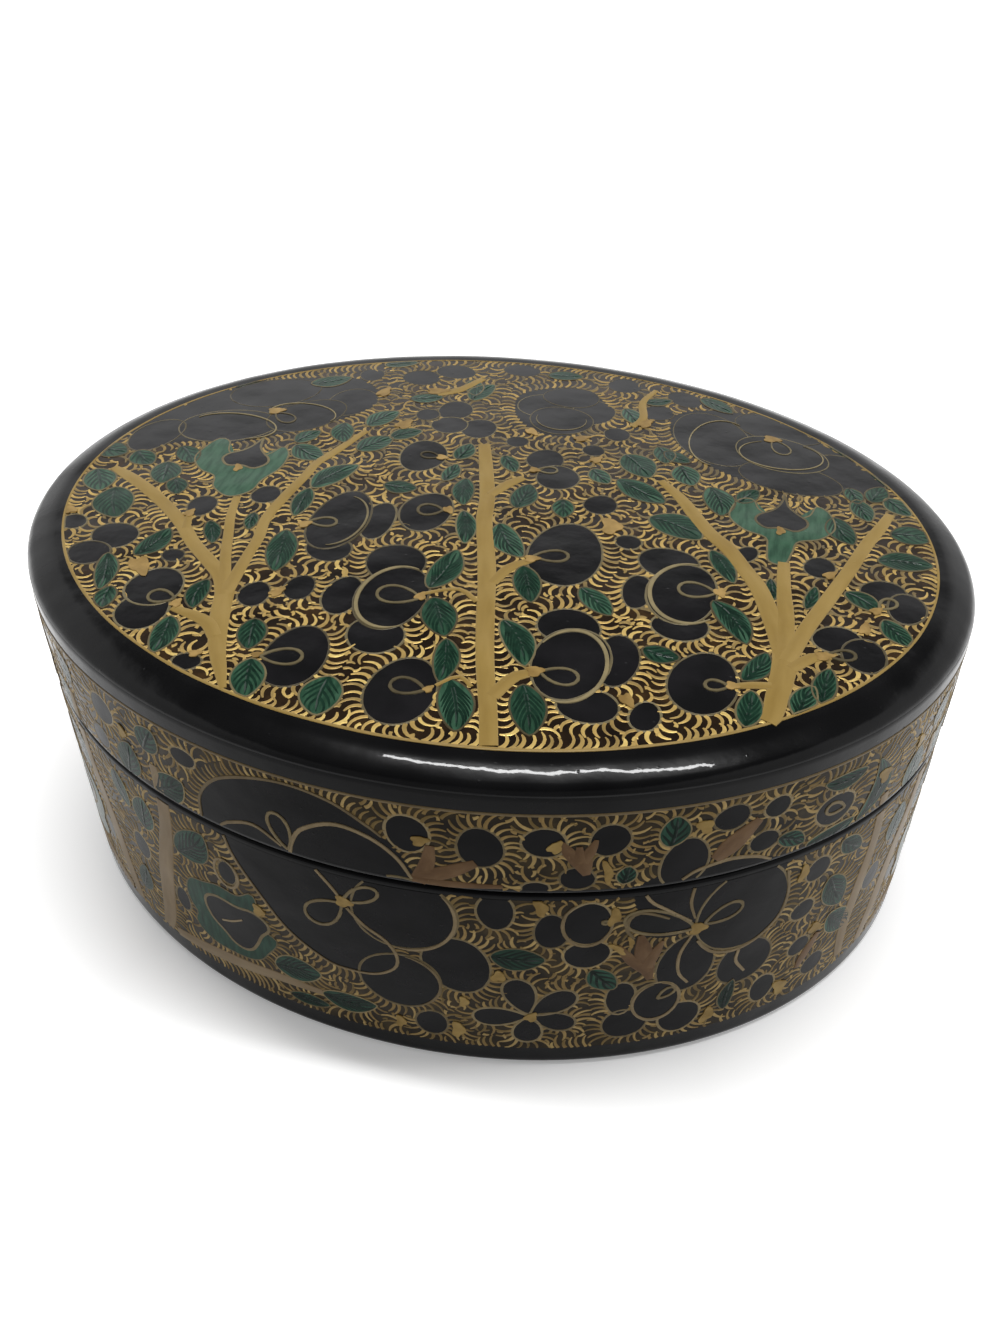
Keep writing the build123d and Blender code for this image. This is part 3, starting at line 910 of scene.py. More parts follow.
        [(-37.8, -13.8, 1.2), (-38.9, -10.4, 0.9)],
        [(11.0, -44.3, 2.1), (9.6, -39.0, 2.1), (7.2, -31.0, 2.2), (5.2, -23.0, 2.3), (4.0, -17.7, 2.3),
         (2.9, -13.3, 2.4), (1.4, -8.0, 2.3), (-0.2, -2.6, 2.3), (-1.2, 3.0, 2.2), (-3.0, 9.6, 2.1),
         (-5.3, 17.4, 1.8)],
        [(4.3, -16.0, 1.4), (5.6, -12.2, 1.6), (8.0, -9.9, 1.0)],
        [(3.4, -20.2, 0.8), (1.0, -18.3, 0.7), (-1.2, -18.9, 0.6), (-3.4, -20.3, 0.6)],
        [(9.4, -36.6, 1.8), (11.0, -32.8, 1.7), (13.2, -31.4, 1.2)],
        [(6.8, -35.6, 0.6), (5.0, -34.2, 0.6), (2.9, -36.4, 0.5)],
        [(-1.0, 4.0, 1.5), (0.8, 7.6, 1.7), (2.4, 9.6, 1.2)],
        [(39.5, -33.5, 2.0), (39.8, -31.0, 2.5), (40.3, -25.5, 2.9), (40.5, -20.6, 3.2)],
        [(40.4, -22.0, 2.4), (38.7, -15.6, 2.4), (36.5, -8.9, 2.4), (34.2, -4.9, 2.3), (31.8, -0.9, 2.3),
         (29.4, 1.8, 2.2), (27.1, 5.3, 2.1), (24.5, 9.6, 1.8), (21.2, 13.6, 1.2)],
        [(40.4, -20.5, 2.3), (40.0, -13.3, 2.1), (39.5, -8.9, 1.9), (39.1, -2.4, 1.6)],
        [(40.6, -22.4, 2.2), (42.6, -15.5, 2.0), (44.9, -8.9, 2.0), (47.1, -2.5, 1.9), (49.4, 4.8, 1.8),
         (51.1, 9.2, 1.7), (52.3, 12.8, 1.3)],
        [(41.2, -23.6, 1.6), (43.4, -21.0, 1.7), (45.6, -20.2, 1.0)],
        [(39.3, -27.2, 1.2), (37.2, -27.6, 1.2), (35.2, -28.3, 0.9)],
        [(-16.4, 31.0, 1.4), (-13.2, 33.6, 1.6), (-10.8, 38.0, 1.2)],
        [(14.8, 28.2, 1.0), (16.0, 31.4, 1.3), (15.2, 36.4, 1.2), (16.6, 41.0, 0.8)],
    ],
    # green cups of the tulips: closed rows of across, up
    "cups": [
        [(31.6, 9.8), (31.4, 6.6), (33.6, 4.0), (36.4, 2.8), (36.8, 0.2), (37.2, -2.6), (39.2, -2.8),
         (40.0, 0.2), (40.6, 2.8), (43.4, 4.2), (45.2, 7.2), (44.4, 10.8), (42.6, 12.2), (41.6, 9.4),
         (38.3, 8.0), (35.2, 9.4), (34.2, 11.8), (32.6, 11.8)],
        [(-44.2, 7.6), (-44.6, 3.6), (-42.4, 0.6), (-39.8, -0.6), (-38.6, -3.4), (-35.6, -5.2),
         (-33.2, -3.2), (-32.8, 0.0), (-31.6, 3.6), (-31.8, 7.4), (-33.4, 9.4), (-34.8, 6.6), (-37.4, 4.6),
         (-40.4, 6.2), (-41.6, 9.0), (-43.2, 9.6)],
    ],
    # black hearts of the cups, likewise
    "hearts": [
        [(34.8, 6.8), (35.2, 8.3), (36.6, 9.5), (37.6, 11.0), (38.1, 12.8), (38.3, 14.0), (38.5, 12.8),
         (39.0, 11.0), (40.2, 9.5), (41.4, 8.3), (41.6, 6.8), (40.2, 5.2), (38.3, 5.6), (36.2, 5.2)],
        [(-40.6, 4.2), (-40.2, 5.7), (-38.8, 6.9), (-37.9, 8.4), (-37.4, 10.2), (-37.2, 11.4),
         (-37.0, 10.2), (-36.5, 8.4), (-35.4, 6.9), (-34.2, 5.7), (-33.9, 4.2), (-35.2, 2.6), (-37.2, 3.0),
         (-39.2, 2.6)],
    ],
    "drops": [],
    "lines": [],
    "sepals": [],
    "husks": [],
}
# The painter's motifs for the wall, in the same columns: along from the middle of the front, and height
wallMotifs = {
    "petals": [
        (8.6, 19.8, 4.2, 5.3, 10), (1.5, 15.2, 5.3, 5.2, 0), (2.4, 28.0, 6.4, 6.6, 0),
        (44.6, 15.8, 4.0, 4.2, 0), (36.4, 18.4, 3.9, 5.4, 0), (34.2, 37.2, 2.9, 4.0, -12),
        (43.0, 26.4, 6.0, 7.6, 0), (19.7, 27.0, 2.2, 3.1, 0), (24.0, 22.6, 2.9, 2.6, 0),
        (23.8, 28.2, 2.9, 3.9, 0), (28.6, 13.4, 1.9, 3.4, 0), (29.4, 8.0, 2.9, 3.0, 0),
        (36.6, 7.6, 2.8, 3.2, 0), (33.2, 11.8, 3.2, 3.9, 0), (3.5, 41.8, 2.6, 2.9, 0),
        (11.5, 40.8, 2.7, 3.2, 0), (18.4, 42.0, 2.5, 2.4, 0), (25.5, 42.2, 2.3, 2.6, 0),
        (22.2, 36.2, 2.1, 1.9, 0), (17.6, 34.6, 1.7, 1.2, 0), (39.1, 43.1, 2.3, 2.0, 0),
        (44.7, 43.0, 1.8, 1.7, 0), (43.8, 37.8, 2.0, 1.8, 0), (-24.7, 43.0, 2.1, 1.5, 10),
        (13.2, 30.2, 2.3, 3.1, 0), (-21.3, 25.3, 1.5, 2.1, 0), (5.3, 7.5, 2.1, 2.6, 0),
        (53.2, 28.6, 2.0, 2.1, 0), (52.2, 21.6, 1.9, 1.9, 0), (53.2, 13.9, 1.8, 1.9, 0),
        (48.4, 8.2, 2.0, 2.8, 0), (56.8, 8.0, 2.1, 2.1, 0), (-31.0, 14.0, 1.4, 2.4, 0),
        (-38.4, 19.0, 1.9, 2.5, 0), (-39.6, 42.2, 2.5, 2.4, 0), (-41.8, 36.4, 2.0, 1.9, 0),
        (53.4, 38.8, 3.0, 2.6, 0),
    ],
    # the two great flowers, whose edges are drawn by the lines below
    "shadows": [
        [(-23.4, 34.0), (-22.8, 38.4), (-20.0, 42.0), (-15.0, 44.6), (-10.0, 45.4), (-5.0, 44.5),
         (-1.0, 42.0), (1.6, 39.6), (3.6, 36.4), (4.4, 33.4), (3.0, 29.0), (1.0, 25.0), (0.8, 21.0),
         (0.8, 17.8), (-1.5, 15.7), (-5.0, 15.0), (-8.0, 15.5), (-13.0, 19.0), (-16.5, 24.0),
         (-19.5, 29.0), (-21.0, 32.0)],
        [(29.4, 34.4), (33.0, 36.0), (37.6, 36.0), (42.0, 35.8), (45.4, 34.6), (48.0, 32.4), (46.0, 28.0),
         (42.0, 25.0), (37.4, 25.4), (33.4, 26.0), (30.4, 28.4), (29.0, 31.4)],
        [(28.2, 28.6), (29.0, 29.9), (31.0, 29.4), (34.0, 27.6), (36.8, 25.5), (34.4, 24.3), (31.4, 24.7),
         (29.2, 26.4)],
    ],
    # drop-shaped petals: root across, root up, length, width, turn
    "drops": [
        (17.6, 10.6, 5.6, 4.3, 265), (17.6, 10.6, 6.0, 4.1, -20), (17.4, 10.5, 7.0, 4.2, 184),
        (17.6, 10.8, 7.0, 4.5, 40), (17.4, 10.9, 7.4, 4.6, 106),
    ],
    # edges of petals: rows of across, up, width
    "lines": [
        [(-5.0, 28.0, 0.3), (-6.0, 29.8, 0.45), (-8.0, 32.5, 0.4)],
        [(-4.5, 27.0, 0.45), (-2.5, 24.5, 0.5), (0.0, 22.5, 0.5), (1.3, 20.0, 0.5), (1.0, 17.5, 0.45),
         (-1.5, 15.5, 0.4), (-5.0, 15.0, 0.35), (-8.0, 15.5, 0.3), (-13.0, 19.0, 0.3), (-16.5, 24.0, 0.35),
         (-19.5, 29.0, 0.4), (-20.6, 32.6, 0.4)],
        [(-23.5, 34.0, 0.4), (-23.0, 38.0, 0.45), (-20.0, 42.0, 0.5), (-15.0, 44.5, 0.5),
         (-10.0, 45.4, 0.4), (-5.0, 44.5, 0.45), (-1.0, 42.0, 0.45), (0.6, 40.6, 0.3)],
        [(-11.0, 34.0, 0.5), (-10.6, 36.0, 0.6), (-9.0, 38.8, 0.6), (-5.0, 41.0, 0.6), (-1.0, 40.2, 0.55),
         (2.0, 37.8, 0.5), (3.8, 34.6, 0.45)],
        [(-20.6, 34.2, 0.4), (-19.0, 35.5, 0.5), (-15.5, 36.7, 0.5), (-12.0, 34.8, 0.4)],
        [(37.4, 22.6, 0.4), (38.4, 21.0, 0.5), (40.0, 19.5, 0.5), (43.0, 18.8, 0.5), (46.0, 20.0, 0.5),
         (48.5, 23.0, 0.5), (49.0, 27.0, 0.45), (48.2, 31.0, 0.35)],
        [(30.0, 33.0, 0.4), (31.0, 31.2, 0.45), (33.0, 29.4, 0.4), (36.2, 26.6, 0.3)],
        [(36.0, 33.0, 0.4), (35.8, 30.0, 0.45), (36.6, 27.0, 0.3)],
        [(34.2, 34.4, 0.4), (36.0, 35.6, 0.5), (39.6, 36.3, 0.55), (43.0, 35.6, 0.5), (45.2, 34.3, 0.35)],
        [(36.6, 24.0, 0.4), (35.4, 20.6, 0.5), (35.6, 17.0, 0.45), (37.0, 14.6, 0.4)],
        [(43.4, 18.6, 0.45), (43.3, 16.4, 0.5), (44.8, 13.8, 0.4)],
        [(-20.2, 17.0, 0.3), (-22.0, 15.7, 0.4), (-23.8, 14.9, 0.35)],
        [(29.4, 24.9, 0.4), (28.5, 26.6, 0.6), (28.5, 28.4, 0.65), (29.5, 29.5, 0.55), (31.2, 29.1, 0.45),
         (33.4, 27.8, 0.35)],
    ],
    "rings": [
        (23.8, 28.2, 2.9, 3.9, 120, 370, 0.5), (33.2, 11.8, 3.0, 3.7, 100, 440, 0.45),
        (2.4, 28.0, 6.2, 6.4, -100, 40, 0.5), (1.5, 15.2, 5.1, 5.0, -60, 80, 0.45),
        (-21.4, 25.2, 1.8, 2.5, 80, 440, 0.5),
    ],
    "loops": [
        (-4.8, 28.2, 5.2, 2.6, 36), (-5.2, 27.6, 6.4, 4.3, 226), (-11.2, 34.6, 5.6, 3.0, 104),
        (36.8, 25.2, 9.4, 4.6, 157), (38.0, 25.6, 5.0, 3.0, 24), (26.4, 28.4, 0.9, 0.6, 180),
        (33.4, 12.4, 2.6, 1.6, 40), (54.8, 38.4, 3.0, 2.0, 160),
    ],
    "knots": [
        (-4.8, 28.0, 1.3, 1.1, 0), (37.2, 25.0, 1.3, 1.2, 0), (17.7, 10.4, 1.1, 0.9, 60),
        (26.8, 29.3, 0.8, 1.9, -12), (4.9, 41.0, 1.2, 0.9, 20), (19.6, 41.4, 1.2, 0.9, 60),
        (18.3, 31.3, 0.9, 1.8, 15), (-17.2, 20.6, 1.0, 1.3, 0), (9.4, 12.8, 0.7, 1.2, 0),
        (50.8, 29.2, 0.8, 1.8, -10), (55.4, 16.2, 1.4, 1.1, -30), (36.0, 42.6, 1.0, 1.4, 40),
        (25.5, 37.1, 0.6, 2.4, 10), (27.6, 23.3, 0.5, 1.8, 42), (29.1, 24.4, 0.4, 1.3, 12),
        (13.6, 18.4, 1.0, 1.2, -30), (40.6, 6.4, 1.0, 1.9, -20), (51.4, 6.6, 1.2, 2.0, 20),
        (1.2, 6.6, 0.8, 1.4, 0), (8.6, 6.8, 1.0, 1.9, 0), (-35.6, 41.0, 0.9, 1.2, 0),
        (61.2, 40.0, 1.2, 1.6, 30),
    ],
    "leaves": [
        (15.9, 22.0, 6.6, 4.2, -4), (26.2, 17.6, 5.2, 3.4, -52), (32.4, 42.6, 4.8, 3.6, 86),
        (-28.4, 36.4, 6.6, 4.6, 36), (-30.6, 42.6, 4.8, 4.0, 60), (-27.0, 27.3, 8.2, 5.2, 48),
        (-35.6, 36.6, 6.2, 4.6, 76), (-35.6, 27.0, 6.4, 4.4, 80), (27.6, 36.4, 3.0, 2.4, 80),
        (43.2, 9.6, 6.0, 2.2, 84), (-12.6, 11.3, 7.0, 4.8, 12), (-5.6, 8.4, 7.6, 3.8, 4),
        (-11.4, 5.6, 6.0, 2.4, 4), (57.6, 22.0, 8.0, 4.2, -64), (60.0, 14.6, 7.0, 4.2, -48),
        (58.4, 30.0, 5.4, 3.0, -40), (47.6, 36.4, 4.6, 2.6, -30), (-40.2, 11.4, 6.4, 3.4, 70),
        (-40.0, 28.6, 6.0, 3.6, -70),
    ],
    # green cups of the small tulips: as leaves, and the bow
    "sepals": [
        (53.6, 34.9, 7.4, 3.2, 8, -0.1), (58.6, 39.0, 9.4, 3.6, 80, -0.26),
        (54.0, 43.6, 6.6, 2.6, 176, 0.1),
    ],
    "trunks": [
        [(-36.6, 4.2, 2.2), (-35.4, 8.0, 2.8), (-34.4, 13.0, 3.0), (-33.5, 18.0, 3.0), (-32.2, 23.0, 2.8),
         (-31.0, 28.0, 2.4), (-30.5, 33.0, 2.2), (-30.6, 38.6, 1.4)],
        [(-34.4, 4.6, 1.6), (-29.0, 5.7, 2.1), (-24.0, 6.7, 2.2), (-19.0, 7.5, 2.0), (-15.0, 8.1, 1.7),
         (-9.4, 8.2, 1.1)],
        [(62.6, 5.0, 1.6), (62.0, 12.0, 2.3), (62.8, 20.0, 2.3), (63.4, 28.0, 2.0), (62.6, 36.0, 1.5)],
    ],
    # brown husks and twigs: rows of across, up, width
    "husks": [
        [(4.4, 34.2, 2.0), (5.6, 37.4, 1.8), (6.0, 40.4, 1.1)],
        [(4.4, 34.8, 1.9), (8.0, 36.5, 2.1), (11.0, 38.3, 1.2)],
        [(3.8, 34.6, 1.0), (8.0, 34.5, 1.1), (14.0, 34.7, 0.6)],
        [(23.2, 36.8, 0.9), (22.7, 38.6, 2.3), (22.2, 40.3, 2.9)],
        [(22.3, 38.6, 1.6), (21.0, 40.6, 1.5), (20.2, 42.1, 0.6)],
        [(22.6, 39.0, 1.6), (23.5, 40.8, 1.3), (24.0, 42.4, 0.5)],
        [(22.3, 39.0, 1.6), (22.2, 41.4, 0.7)],
        [(37.8, 36.8, 1.6), (39.8, 38.8, 3.0), (42.6, 41.8, 1.2)],
        [(32.0, 16.6, 0.8), (31.3, 19.6, 2.3), (30.7, 22.6, 2.2), (30.2, 25.4, 0.7)],
        [(31.6, 18.0, 1.2), (29.4, 20.8, 1.5), (27.6, 23.8, 0.7)],
        [(31.4, 19.0, 1.6), (32.2, 21.6, 1.5), (33.0, 23.8, 0.5)],
        [(53.8, 9.0, 1.0), (54.8, 11.6, 1.8), (56.4, 14.6, 1.0)],
    ],
    "cups": [
        [(-29.2, 18.8), (-28.2, 20.2), (-26.0, 20.9), (-23.4, 21.8), (-20.4, 21.6), (-18.2, 23.2),
         (-17.4, 22.2), (-17.6, 20.0), (-16.6, 18.4), (-16.4, 16.6), (-15.2, 15.8), (-15.4, 14.4),
         (-16.8, 12.2), (-18.0, 10.4), (-19.8, 9.3), (-22.6, 8.9), (-26.0, 8.9), (-28.2, 10.0),
         (-29.0, 11.6), (-28.4, 13.4), (-29.2, 14.8), (-29.6, 16.8)],
    ],
    "hearts": [
        [(-26.3, 16.8), (-25.7, 18.5), (-23.8, 19.4), (-20.8, 19.2), (-18.4, 19.6), (-16.5, 18.7),
         (-16.1, 17.2), (-17.4, 15.4), (-18.3, 13.4), (-19.4, 11.6), (-20.8, 10.9), (-22.4, 11.3),
         (-23.6, 12.6), (-25.5, 14.4)],
    ],
}
# The panel is carried on round the box: moved along by, as it is (1) or turned about (-1), and what it
# takes of the panel. The four meet without a gap.
wallPanels = [
    (0.0, 1, -46.0, 64.5), (104.0, 1, -39.5, 14.0), (180.0, -1, -38.0, 62.0), (280.0, -1, -34.0, 62.0),
]


# Where the panel is turned about, a motif's turns become what they lack of 180, and a sepal bows the
# other way.
def carriedRound(kind, rows):
    copies = []
    turnColumns = [4, 5] if kind == "rings" else [4]
    for shift, way, low, high in wallPanels:
        for row in rows:
            spots = np.atleast_2d(np.array(row, float))
            if not low <= spots[:, 0].mean() < high:
                continue
            spots[:, 0] = shift + way * spots[:, 0]
            if way < 0 and np.ndim(row) == 1:
                spots[:, turnColumns] = 180 - spots[:, turnColumns[::-1]]
            if way < 0 and kind == "sepals":
                spots[:, 5] *= -1
            copies.append(spots if np.ndim(row) > 1 else spots[0])
    return copies


def crossing(inner, outer, level):
    share = (level - inner[1]) / (outer[1] - inner[1])
    return (inner + (outer - inner) * share)[None]


# Runs of a path on one side of a level, each ended exactly on it. A closed path that crosses is
# first turned to start off the kept side.
def runsOf(path, closed, level, above):
    keep = (path[:, 1] > level) == above
    if keep.all():
        return [(path, closed)]
    if closed:
        first = np.flatnonzero(~keep)[0]
        path, keep = np.roll(path, -first, 0), np.roll(keep, -first)
        path, keep = np.concatenate([path, path[:1]]), np.append(keep, False)
    edges = np.flatnonzero(np.diff(np.concatenate([[0], keep.astype(int), [0]])))
    runs = []
    for start, stop in zip(edges[::2], edges[1::2]):
        run = path[start:stop]
        if start > 0:
            run = np.concatenate([crossing(path[start], path[start - 1], level), run])
        if stop < len(path):
            run = np.concatenate([run, crossing(path[stop - 1], path[stop], level)])
        runs.append((run, False))
    return runs


# The outline of a stroke: out along one side of the path and back along the other
def strokeOutline(path):
    ahead = unit(np.gradient(path[:, :2], axis=0))
    side = np.stack([ahead[:, 1], -ahead[:, 0]], 1) * path[:, 2:3] / 2
    return np.concatenate([path[:, :2] + side, (path[:, :2] - side)[::-1]])


# Twice the area has the sign of the way round; outlines all run anticlockwise.
def anticlockwise(outline):
    x, y = outline.T
    area = np.sum(x * np.roll(y, -1) - y * np.roll(x, -1))
    return outline if area > 0 else outline[::-1]


# A petal lies one step above the highest of the petals that it overlaps.
def petalOrders(rows):
    orders = np.zeros(len(rows), int)
    for k in range(1, len(rows)):
        apart = np.hypot(rows[:k, 0] - rows[k, 0], rows[:k, 1] - rows[k, 1])
        size = rows[:k, 2:4].mean(1) + rows[k, 2:4].mean()
        over = apart < 0.95 * size
        orders[k] = min(paint["orders"], 1 + orders[:k][over].max()) if over.any() else 0
    return list(orders)


# Flat shapes of a surface from its lists: outlines to fill, lines as rows of across, up and width, and the
# edges that combs stand on
def flatShapes(surface, lists):
    petalLine, leafLine, steps = paint["petalLine"][surface], paint["leafLine"][surface], paint["steps"]
    shapes = {kind: [] for kind in (
        "petals", "petalLines", "rings", "knots", "leaves", "leafLines", "veins", "trunks", "husks", "edges")}

    def fill(kind, outline, lift, turn=0.0):
        shapes[kind].append((outline, lift, turn))
        shapes["edges"].append(outline)

    def line(kind, path, width, lift, closed=False):
        shapes[kind].append((np.column_stack([path, np.broadcast_to(width, len(path))]), lift, closed))

    for rows in lists["shadows"]:
        outline = anticlockwise(smoothRows(rows, steps["shadows"], True))
        fill("petals", outline, paint["petal"] - 0.5 * paint["petalStep"])
    outlines = list(petalOutlines(lists["petals"]))
    orders = petalOrders(np.asarray(lists["petals"], float))
    outlines += [anticlockwise(loopPath(*row)[:-1]) for row in lists["drops"]]
    orders += [1] * len(lists["drops"])
    for outline, order in zip(outlines, orders):
        lift, middle = paint["petal"] + paint["petalStep"] * order, outline.mean(0)
        fill("petals", outline, lift)
        path = evenly(middle + (outline - middle) * 0.985, steps["petals"], True)
        line("petalLines", path, uneven(petalLine, len(path), 0.75, 0.35), lift + paint["line"], True)
    for rows in lists["cups"]:
        outline = anticlockwise(smoothRows(rows, steps["cups"], True))
        fill("leaves", outline, paint["leaf"], 90)
        line("leafLines", outline, leafLine, paint["leaf"] + paint["line"], True)
    for rows in lists["hearts"]:
        outline = anticlockwise(smoothRows(rows, steps["hearts"], True))
        shapes["petals"].append((outline, paint["leaf"] + 1.5 * paint["line"], 0.0))
        line("petalLines", outline, 1.3 * petalLine, paint["leaf"] + 2.5 * paint["line"], True)
    for x, y, rx, ry, start, stop, width in lists["rings"]:
        a = np.radians(np.linspace(start, stop, int(abs(stop - start) * max(rx, ry) / 60) + 8))
        k = np.linspace(0, 1, len(a))
        path = np.stack([x + rx * np.cos(a), y + ry * np.sin(a)], 1)
        line("rings", path, width * np.clip(4 * np.minimum(k, 1 - k) + 0.3, 0, 1), paint["ring"])
    for rows in lists["lines"]:
        shapes["rings"].append((smoothRows(rows, steps["lines"]), paint["ring"], False))
    for row in lists["loops"]:
        path = loopPath(*row)
        line("petalLines", path, uneven(paint["loopLine"], len(path), 0.85, 0.3), paint["ring"])
    for outline in knotOutlines(lists["knots"]):
        fill("knots", outline, paint["knot"])
    for row in lists["leaves"] + lists["sepals"]:
        outline, veins = leafForm(*row)
        fill("leaves", outline, paint["leaf"], row[4])
        path = evenly(outline, steps["leaves"], True)
        line("leafLines", path, uneven(leafLine, len(path), 0.8, 0.3), paint["leaf"] + paint["line"], True)
        shapes["veins"] += [(vein, paint["leaf"] + 0.8 * paint["line"], False) for vein in veins]
    for kind in ("trunks", "husks"):
        for k, rows in enumerate(lists[kind]):
            path = smoothRows(rows, steps["strokes"])
            shapes[kind].append((path, paint["trunk"] + paint["trunkStep"] * k, False))
            shapes["edges"].append(anticlockwise(strokeOutline(path)))
    return shapes


# On the lid the lines thin out from the middle to the back.
def thinned(rows):
    for path, _, _ in rows:
        back = np.clip(path[:, 1] / halfWidth + 0.1, 0, 1)
        path[:, 2] *= 1 - (1 - paint["behind"]) * back


def cutTo(path, closed, side):
    return runsOf(path, closed, *side) if side else [(path, closed)]


# A filled shape that was cut is closed along the cut.
def filled(rows, side):
    solids = []
    for outline, lift, turn in rows:
        for run, whole in cutTo(outline, True, side):
            if not whole:
                run = np.concatenate([run, evenly(np.stack([run[-1], run[0]]), paint["steps"]["cut"])[1:-1]])
            if len(run) < 4 or np.ptp(run, 0).min() < paint["tooSmall"]:
                continue
            middle = run.mean(0)
            rings = int(np.ceil(np.linalg.norm(run - middle, axis=1).max() / paint["steps"]["rings"]))
            solids.append(padSolid(run, middle, lift, rings, turn))
    return solids


def drawn(rows, side=None, section=thread):
    solids = []
    for path, lift, closed in rows:
        for run, whole in cutTo(path, closed, side):
            if len(run) > 2:
                solids.append(strokeSolids([run[:, :2]], [run[:, 2]], lift, section, whole))
    return solids


def paintPiece(name, solids, lay, material, body):
    points, tris, uv, shade = joined(solids)
    makePiece(name, lay(points), [tris], material, body, uv, shade, 60)


def paintShapes(prefix, shapes, combs, lay, body, finishes, side=None):
    work = [
        ("Hatch", [strokeSolids(*combs, hatch["lift"], tuft)], "hatch", "gold_paint"),
        ("Petals", filled(shapes["petals"], side), "petal", "black_lacquer"),
        ("PetalLines", drawn(shapes["petalLines"], side), "line", "gold_paint"),
        ("Rings", drawn(shapes["rings"], side), "ring", "gold_paint"),
        ("Knots", filled(shapes["knots"], side), "knot", "gold_paint"),
        ("Leaves", filled(shapes["leaves"], side), "leaf", "green_paint"),
        ("LeafLines", drawn(shapes["leafLines"], side), "line", "gold_paint"),
        ("Veins", drawn(shapes["veins"], side), "vein", "green_paint"),
        ("Trunks", drawn(shapes["trunks"], side, ribbon), "trunk", "gold_paint"),
        ("Husks", drawn(shapes["husks"], side, ribbon), "husk", "gold_paint"),
    ]
    for kind, solids, material, slotName in work:
        if solids:
            paintPiece(prefix + kind, solids, lay, finishes[material], body)
    print(prefix, "motifs", len(shapes["edges"]), "hatch strokes", len(combs[0]))


# The map starts from what is out of bounds for the brush, and each motif is stamped on it.
def combEdges(field, shapes):
    field.beyond = field.taken.copy()
    for edge in shapes["edges"]:
        field.stamp(edge)
    return [(evenly(edge, hatch["edgeStep"], True), True) for edge in shapes["edges"]]


def insetOval(inset, count=360):
    t = np.arange(count) * 2 * np.pi / count
    x, y = ovalPoint(t)
    nx, ny = ovalNormal(t)
    return np.stack([x - nx * inset, y - ny * inset], 1)


# What lies outside the border is drawn in to it.
def heldInField(spots, margin=0.2):
    inset = paint["fieldInset"] + margin
    out = np.hypot(spots[:, 0] / (halfLength - inset), spots[:, 1] / (halfWidth - inset))
    spots[:, :2] /= np.maximum(out, 1)[:, None]


def paintLid():
    border, finishes = insetOval(paint["fieldInset"]), paints["lid"]
    shapes = flatShapes("lid", lidMotifs)
    for rows in shapes.values():
        for row in rows:
            heldInField(row if isinstance(row, np.ndarray) else row[0])
    field = PaintMap((-halfLength, -halfWidth), (halfLength, halfWidth), False, hatch["lid"])
    field.stamp(border)
    field.taken = ~field.taken
    edges = combEdges(field, shapes)
    edges.insert(len(lidMotifs["petals"]), (border[::-1], True))
    combs = combAll(field, edges)
    heldInField(combs[0].reshape(-1, 2), 0.1)
    ground = [padSolid(border, np.zeros(2), paint["ground"], 40)]
    paintPiece("lidGround", ground, layOnLid, finishes["ground"], "lid")
    for kind in ("petalLines", "rings"):
        thinned(shapes[kind])
    # the border line is widest at the front, and wavers
    turn = np.arctan2(border[:, 1], border[:, 0])
    wide = 0.72 - 0.3 * np.sin(turn) + 0.08 * np.sin(9 * turn) + 0.06 * np.sin(23 * turn + 1)
    line = [(np.column_stack([border, paint["borderLine"] * wide]), paint["borderLift"], True)]
    paintPiece("lidBorderLine", drawn(line), layOnLid, finishes["trunk"], "lid")
    paintShapes("lid", shapes, combs, layOnLid, "lid", finishes)


# A level line round the wall, which ends a little past its start
def wallLine(z, forwards=True):
    s = np.linspace(-girth / 2, girth / 2 + 0.3, 300)
    line = np.stack([s, np.full_like(s, z)], 1)
    return line if forwards else line[::-1]


# A strip of ground round the whole wall, thin as a coat of paint: rows up its face and back down behind it
def groundBand(low, high, rows=8):
    s, z = np.linspace(-girth / 2, girth / 2, 361)[:-1], np.linspace(low, high, rows)
    z = np.concatenate([z, z[::-1]])[:, None]
    height = np.repeat([paint["ground"], 0.0], rows)[:, None]
    points = np.stack([s + 0 * z, z + 0 * s, height + 0 * s], -1).reshape(-1, 3)
    return points, split(bandFaces(2 * rows, len(s), True)), points[:, :2], np.full(len(points), 0.5)


# The wall is painted in one go and parted at the seam.
def paintWall():
    low, high, seamLow, seamHigh = paint["baseLine"], paint["lidLine"], paint["seamLow"], paint["seamHigh"]
    finishes = paints["wall"]
    shapes = flatShapes("wall", {kind: carriedRound(kind, rows) for kind, rows in wallMotifs.items()})
    field = PaintMap((-girth / 2, 0), (girth / 2, boardHigh[2]), True, hatch["wall"])
    z = ((np.arange(field.shape[0]) + 0.5) * field.cell)[:, None]
    field.taken |= (z < low) | (z > high) | ((z > seamLow) & (z < seamHigh))
    edges = combEdges(field, shapes)
    edges += [(wallLine(*level), False) for level in ((seamLow, True), (seamHigh, False), (low, False))]
    paths, widths = combAll(field, edges)
    onLid = paths[:, :, 1].mean(1) > seamHigh
    for prefix, body, part, side, ends in (
            ("lidWall", "lid", onLid, (seamHigh, True), (seamHigh, high)),
            ("baseWall", "base", ~onLid, (seamLow, False), (low, seamLow))):
        combs = paths[part], widths[part]
        combs[0][..., 1] = np.clip(combs[0][..., 1], *ends)
        ground = [groundBand(*ends)]
        paintPiece(prefix + "Ground", ground, wrapOnWall, finishes["ground"], body)
        paintShapes(prefix, shapes, combs, wrapOnWall, body, finishes, side)
    border = wallLine(high)
    wide = np.full(len(border), paint["wallBorderLine"])
    line = [(np.column_stack([border, wide]), paint["borderLift"], False)]
    paintPiece("lidWallBorderLine", drawn(line), wrapOnWall, finishes["ring"], "lid")


paintLid()
paintWall()

